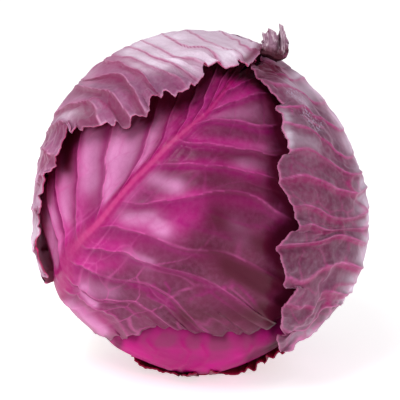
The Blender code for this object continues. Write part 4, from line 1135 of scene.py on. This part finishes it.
# The dried tip's foot, lip, waist and ragged rim, from left to right
TIP_FOOT = ((27.0, 72.0), (28.4, 70.8), (30.4, 70.0), (32.6, 69.6), (35.0, 70.4))
TIP_LIP = ((29.2, 74.8), (33.6, 73.2), (37.2, 71.6), (40.8, 71.4), (42.2, 74.0))
TIP_WAIST = ((30.0, 77.6), (33.6, 76.6), (37.2, 75.8), (41.0, 76.2), (43.4, 77.6))
TIP_RIM = (
    (30.4, 80.0), (31.4, 82.4), (30.4, 83.6), (30.6, 84.9), (32.0, 84.0), (33.4, 85.4), (33.2, 86.7),
    (35.0, 85.8), (36.9, 84.6), (37.8, 82.6), (38.9, 83.8), (39.6, 86.6), (38.6, 89.0), (40.2, 88.2),
    (41.2, 85.6), (42.2, 82.4), (43.2, 79.4),
)


def curl_shape(sizes):
    """The dried tip: a thin sheet through a foot, a lip, a waist and a ragged rim, in folds.

    It rolls forward over the lip, is creased along the line of its notch, and waves more towards the
    rim. Each of the four lines is evenly resampled and joined to the next by a smooth curve.
    """
    across = np.linspace(0, 1, TIP_FOLDS)
    smooth = [np.array(line, float) for line in (TIP_FOOT, TIP_LIP, TIP_WAIST)]
    lines = [spline(line, across * (len(line) - 1)) for line in smooth]
    rim = np.array(TIP_RIM, float)
    marks = course_length(rim)
    lines.append(read_off(across * marks[-1], marks, rim))
    place = spline(np.array(lines), np.linspace(0, 3, TIP_STATIONS))
    up, part = np.meshgrid(np.linspace(0, 1, TIP_STATIONS), across, indexing="ij")
    param = np.stack([up * 5, part * 5], -1)
    valley = bell((part - 0.58) / 0.09) * smooth_step(up, 0.35, 0.9)
    fold = 1 - np.abs(layered_noise(param * (0.5, 0.9), 73, 2))
    wave = 1.6 * smooth_step(up, 0.3, 0.8) * fold + 1.3 * layered_noise(param * 0.8, 71, 4)
    roll = 20.0 + 5.0 * bell((up - 0.36) / 0.15) + 2.0 * up
    depth = roll - 3.4 * valley - 3.0 * (2 * part - 1) ** 2 * up + wave
    sheet = np.concatenate([place * (1 - depth[..., None] * MM / EYE), depth[..., None]], -1) * MM
    normal = unit(np.cross(np.gradient(sheet, axis=0), np.gradient(sheet, axis=1)))
    outer = sheet @ VIEW + MIDDLE
    inner = (sheet + normal * 0.6 * sizes.blade) @ VIEW + MIDDLE
    crease = np.abs(layered_noise(param * (0.6, 2.4), 75, 3))
    # Colour masks: painted highlight streaks along the creases, painted shade over the lower part under the
    # rolled lip and in the notch's valley, and the rim's edge
    masks = {
        "crest": np.clip(1.2 - 6 * crease, 0, 1) * smooth_step(up, 0.4, 0.6),
        "rose": 1 - smooth_step(up, 0.62, 0.78),
        "shade": np.clip(1 - smooth_step(up, 0.5, 0.68) + 0.6 * valley, 0, 1),
        "edge": smooth_step(up, 0.97, 1.0),
    }
    return outer, inner, masks


class LeafWork:
    """What every leaf operator does: shape, mesh, material and its tie to the frame."""

    bl_options = {"REGISTER", "UNDO"}
    node = ""
    colours = ""
    slot_name = ""
    gloss = 0.4
    haze = 0.1
    shine = 0.16

    def execute(self, context):
        settings = context.scene.cabbage
        outer, inner, masks = leaf_shape(self.node, settings.sizes)
        piece = blade_mesh(f"{self.node}_blade", outer, inner, masks)
        skin = f"{self.node}_skin"
        colours = getattr(settings, self.colours)
        material = leaf_material(skin, colours, self.gloss, self.haze, self.shine)
        joined(piece, material, self.node)
        return {"FINISHED"}


class CABBAGE_OT_front_leaf(LeafWork, bpy.types.Operator):
    """Build the glossy front leaf with its broad midrib"""

    bl_idname = "cabbage.front_leaf"
    bl_label = "Front Leaf"
    node = "front_leaf"
    colours = "front"
    slot_name = "glossy_leaf"
    gloss = 0.34
    haze = 0.0


class CABBAGE_OT_bottom_leaf(LeafWork, bpy.types.Operator):
    """Build the pink leaf that shows below the front leaf"""

    bl_idname = "cabbage.bottom_leaf"
    bl_label = "Bottom Leaf"
    node = "bottom_leaf"
    colours = "pink"
    slot_name = "pink_leaf"
    gloss = 0.45
    haze = 0.0
    shine = 0.05


class CABBAGE_OT_back_leaf(LeafWork, bpy.types.Operator):
    """Build the leaf that closes the back under the wrappers"""

    bl_idname = "cabbage.back_leaf"
    bl_label = "Back Leaf"
    node = "back_leaf"
    colours = "back"
    slot_name = "pink_leaf"


class CABBAGE_OT_under_leaf(LeafWork, bpy.types.Operator):
    """Build the dark leaf that the head lies on"""

    bl_idname = "cabbage.under_leaf"
    bl_label = "Under Leaf"
    node = "under_leaf"
    colours = "dark"
    slot_name = "dark_leaf"


class CABBAGE_OT_right_leaf(LeafWork, bpy.types.Operator):
    """Build the dusty wrapper leaf on the right"""

    bl_idname = "cabbage.right_leaf"
    bl_label = "Right Leaf"
    node = "right_leaf"
    colours = "right"
    slot_name = "wrapper_leaf"
    haze = 0.5


class CABBAGE_OT_top_leaf(LeafWork, bpy.types.Operator):
    """Build the pale wrapper leaf over the top and the left"""

    bl_idname = "cabbage.top_leaf"
    bl_label = "Top Leaf"
    node = "top_leaf"
    colours = "top"
    slot_name = "pale_leaf"
    haze = 0.5


class CABBAGE_OT_curl(bpy.types.Operator):
    """Build the dried tip that stands up at the top"""

    bl_idname = "cabbage.curl"
    bl_label = "Dried Tip"
    bl_options = {"REGISTER", "UNDO"}

    def execute(self, context):
        settings = context.scene.cabbage
        outer, inner, masks = curl_shape(settings.sizes)
        piece = blade_mesh("dried_tip", outer, inner, masks)
        material = leaf_material("dried_tip_skin", settings.tip, 0.55, 0.1, 0.16)
        joined(piece, material, "right_leaf")
        return {"FINISHED"}


def round_axis(axis, turn):
    """Directions square to an axis, at these turns round it."""
    side = unit(np.cross(axis, [0.0, 0.0, 1.0]))
    return np.cos(turn)[..., None] * side + np.sin(turn)[..., None] * np.cross(axis, side)


def ball_mesh(name, directions, radius, masks):
    """A closed ball from rings of directions round an axis, with its two poles closed by thin rings."""
    count, spokes = radius.shape
    points = to_world(directions, radius).reshape(-1, 3)
    index = np.arange(count * spokes).reshape(count, spokes)
    k = np.arange(spokes // 2 - 1)
    faces = [grid_faces(np.concatenate([index, index[:, :1]], axis=1))]
    for ring in (index[0], index[-1][::-1]):
        faces.append(np.stack([ring[k], ring[k + 1], ring[spokes - 2 - k], ring[spokes - 1 - k]], -1))
    return surface(name, points, np.concatenate(faces), spread(masks, radius.size, 1))


class CABBAGE_OT_heart(bpy.types.Operator):
    """Build the closed heart of lapped inner leaves"""

    bl_idname = "cabbage.heart"
    bl_label = "Heart"
    bl_options = {"REGISTER", "UNDO"}

    def execute(self, context):
        settings = context.scene.cabbage
        axis = unit(-STALK)
        turns = np.arange(HEART_SPOKES) * 2 * pi / HEART_SPOKES
        polar, turn = np.meshgrid(np.linspace(0.01, pi - 0.01, HEART_RINGS), turns, indexing="ij")
        flat = round_axis(axis, turn)
        directions = np.cos(polar)[..., None] * axis + np.sin(polar)[..., None] * flat
        lap = (HEART_LEAVES * turn / (2 * pi) + 1.4 * polar / pi) % 1.0
        radius = layer_radius(directions, HEART_LIFT) - HEART_LAP * lap * np.sin(polar) ** 0.5
        vein = np.abs(np.sin(12 * turn + 3 * polar))
        masks = {"vein": np.clip(1 - 6 * vein, 0, 1) * 0.6}
        piece = ball_mesh("heart_leaves", directions, radius, masks)
        joined(piece, leaf_material("heart_skin", settings.pink, 0.4, 0.0, 0.16), "inner_head")
        return {"FINISHED"}


class CABBAGE_OT_stalk(bpy.types.Operator):
    """Build the stub of the stalk with its cut face"""

    bl_idname = "cabbage.stalk"
    bl_label = "Stalk"
    bl_options = {"REGISTER", "UNDO"}

    def execute(self, context):
        sizes = context.scene.cabbage.sizes
        axis = unit(STALK)
        profile = np.array(STALK_PROFILE)
        profile = spline(profile, np.linspace(0, len(profile) - 1, STALK_RINGS))
        turn = np.arange(STALK_SPOKES) * 2 * pi / STALK_SPOKES
        flute = 1 + 0.02 * np.cos(7 * turn) + 0.012 * np.cos(11 * turn + 1)
        reach = profile[:, 0, None, None] * MM * axis
        width = (profile[:, 1, None] * flute)[..., None] * sizes.stalk_radius
        spot = reach + width * round_axis(axis, turn)
        cut = smooth_step(profile[:, 0], 84.0, 84.3)[:, None] * np.ones(STALK_SPOKES)
        piece = ball_mesh("stalk_stub", unit(spot), np.linalg.norm(spot, axis=-1), {"pale": cut})
        joined(piece, stalk_material(), "stalk")
        return {"FINISHED"}


def stalk_material():
    """Stalk: pale woody skin with long fibres, and a drier cut face."""
    material, sheet, shader = new_tree("stalk_skin")
    place = sheet.add("ShaderNodeTexCoord", output="Object")
    cut = sheet.add("ShaderNodeAttribute", {"attribute_name": "pale"}, output="Fac")
    grain = place.noise(260.0, 5.0)
    cloud = place.noise(60.0, 3.0)
    skin = cloud.between(0.3, 0.7).mixed(linear((176, 130, 150)), linear((206, 172, 182)))
    face = cloud.between(0.35, 0.65).mixed(linear((214, 200, 176)), linear((186, 160, 128)))
    colour = cut.mixed(skin, face)
    colour = (grain.between(0.4, 0.7) * 0.35).mixed(colour, linear((140, 100, 96)))
    bump = sheet.add("ShaderNodeBump", inputs={"Height": grain, "Strength": 0.5, "Distance": 0.0006})
    sheet.fill(shader, {"Base Color": colour, "Normal": bump, "Roughness": 0.6})
    return material


class CABBAGE_OT_stage(bpy.types.Operator):
    """Lay the pale floor and set the lights and the camera"""

    bl_idname = "cabbage.stage"
    bl_label = "Stage"
    bl_options = {"REGISTER", "UNDO"}

    def execute(self, context):
        line = np.linspace(-FLOOR_REACH, FLOOR_REACH, FLOOR_STEPS)
        x, y = np.meshgrid(line, line, indexing="ij")
        points = np.stack([x, y, 0 * x], -1).reshape(-1, 3)
        faces = grid_faces(np.arange(points.shape[0]).reshape(x.shape))
        mesh = bpy.data.meshes.new("floor")
        mesh.from_pydata(points.tolist(), [], faces.tolist())
        floor = bpy.data.objects.new("floor", mesh)
        context.scene.collection.objects.link(floor)
        material, sheet, shader = new_tree("floor_paper")
        sheet.fill(shader, {
            "Base Color": (0.92, 0.92, 0.92, 1), "Roughness": 0.9, "Specular IOR Level": 0.1,
            "Emission Color": WHITE, "Emission Strength": 0.6,
        })
        mesh.materials.append(material)

        world = bpy.data.worlds.new("studio")
        world.use_nodes = True
        sky = world.node_tree.nodes["Background"]
        Shade(world.node_tree).fill(sky, {"Color": WHITE, "Strength": SKY_STRENGTH})
        context.scene.world = world
        add_light("key", (-0.45, -0.7, 1.25), 0.6, 9.4)
        add_light("fill", (0.9, -0.6, 0.5), 0.8, 1.2)
        add_light("side", (-1.1, -0.5, 0.3), 0.6, 1.2)

        camera = bpy.data.cameras.new("camera")
        camera.sensor_width = SENSOR
        camera.lens = SENSOR * EYE / PICTURE_WIDTH
        camera.dof.use_dof = False
        eye = bpy.data.objects.new("camera", camera)
        aim = MIDDLE + UP * AIM_HEIGHT * MM
        eye.location = aim + TOWARD * EYE
        eye.rotation_euler = (pi / 2 - LEAN, 0.0, 0.0)
        context.scene.collection.objects.link(eye)
        context.scene.camera = eye
        context.scene.view_settings.view_transform = "Standard"
        return {"FINISHED"}


def add_light(name, place, size, power):
    """A soft square light that faces the middle of the head."""
    light = bpy.data.lights.new(name, "AREA")
    light.shape = "SQUARE"
    light.size = size
    light.energy = power
    lamp = bpy.data.objects.new(name, light)
    lamp.location = place
    away = unit(np.array(place) - MIDDLE)
    lamp.rotation_euler = (np.arccos(away[2]), 0.0, np.arctan2(away[0], -away[1]))
    bpy.context.scene.collection.objects.link(lamp)


PIECES = (
    CABBAGE_OT_heart,
    CABBAGE_OT_stalk,
    CABBAGE_OT_bottom_leaf,
    CABBAGE_OT_back_leaf,
    CABBAGE_OT_front_leaf,
    CABBAGE_OT_under_leaf,
    CABBAGE_OT_right_leaf,
    CABBAGE_OT_curl,
    CABBAGE_OT_top_leaf,
    CABBAGE_OT_stage,
)


class CABBAGE_PT_panel(bpy.types.Panel):
    """Sidebar panel that lists the pieces"""

    bl_idname = "CABBAGE_PT_panel"
    bl_label = "Red Cabbage"
    bl_space_type = "VIEW_3D"
    bl_region_type = "UI"
    bl_category = "Cabbage"

    def draw(self, context):
        for field in HeadSizes.__annotations__:
            self.layout.prop(context.scene.cabbage.sizes, field)
        for piece in PIECES:
            self.layout.operator(piece.bl_idname)


CLASSES = (*GROUPS.values(), CabbageSettings, *PIECES, CABBAGE_PT_panel)


def register():
    for item in CLASSES:
        bpy.utils.register_class(item)
    bpy.types.Scene.cabbage = bpy.props.PointerProperty(type=CabbageSettings)


def unregister():
    del bpy.types.Scene.cabbage
    for item in reversed(CLASSES):
        bpy.utils.unregister_class(item)


def main():
    register()
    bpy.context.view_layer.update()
    for piece in PIECES:
        group, word = piece.bl_idname.split(".")
        getattr(getattr(bpy.ops, group), word)()


if __name__ == "__main__":
    main()
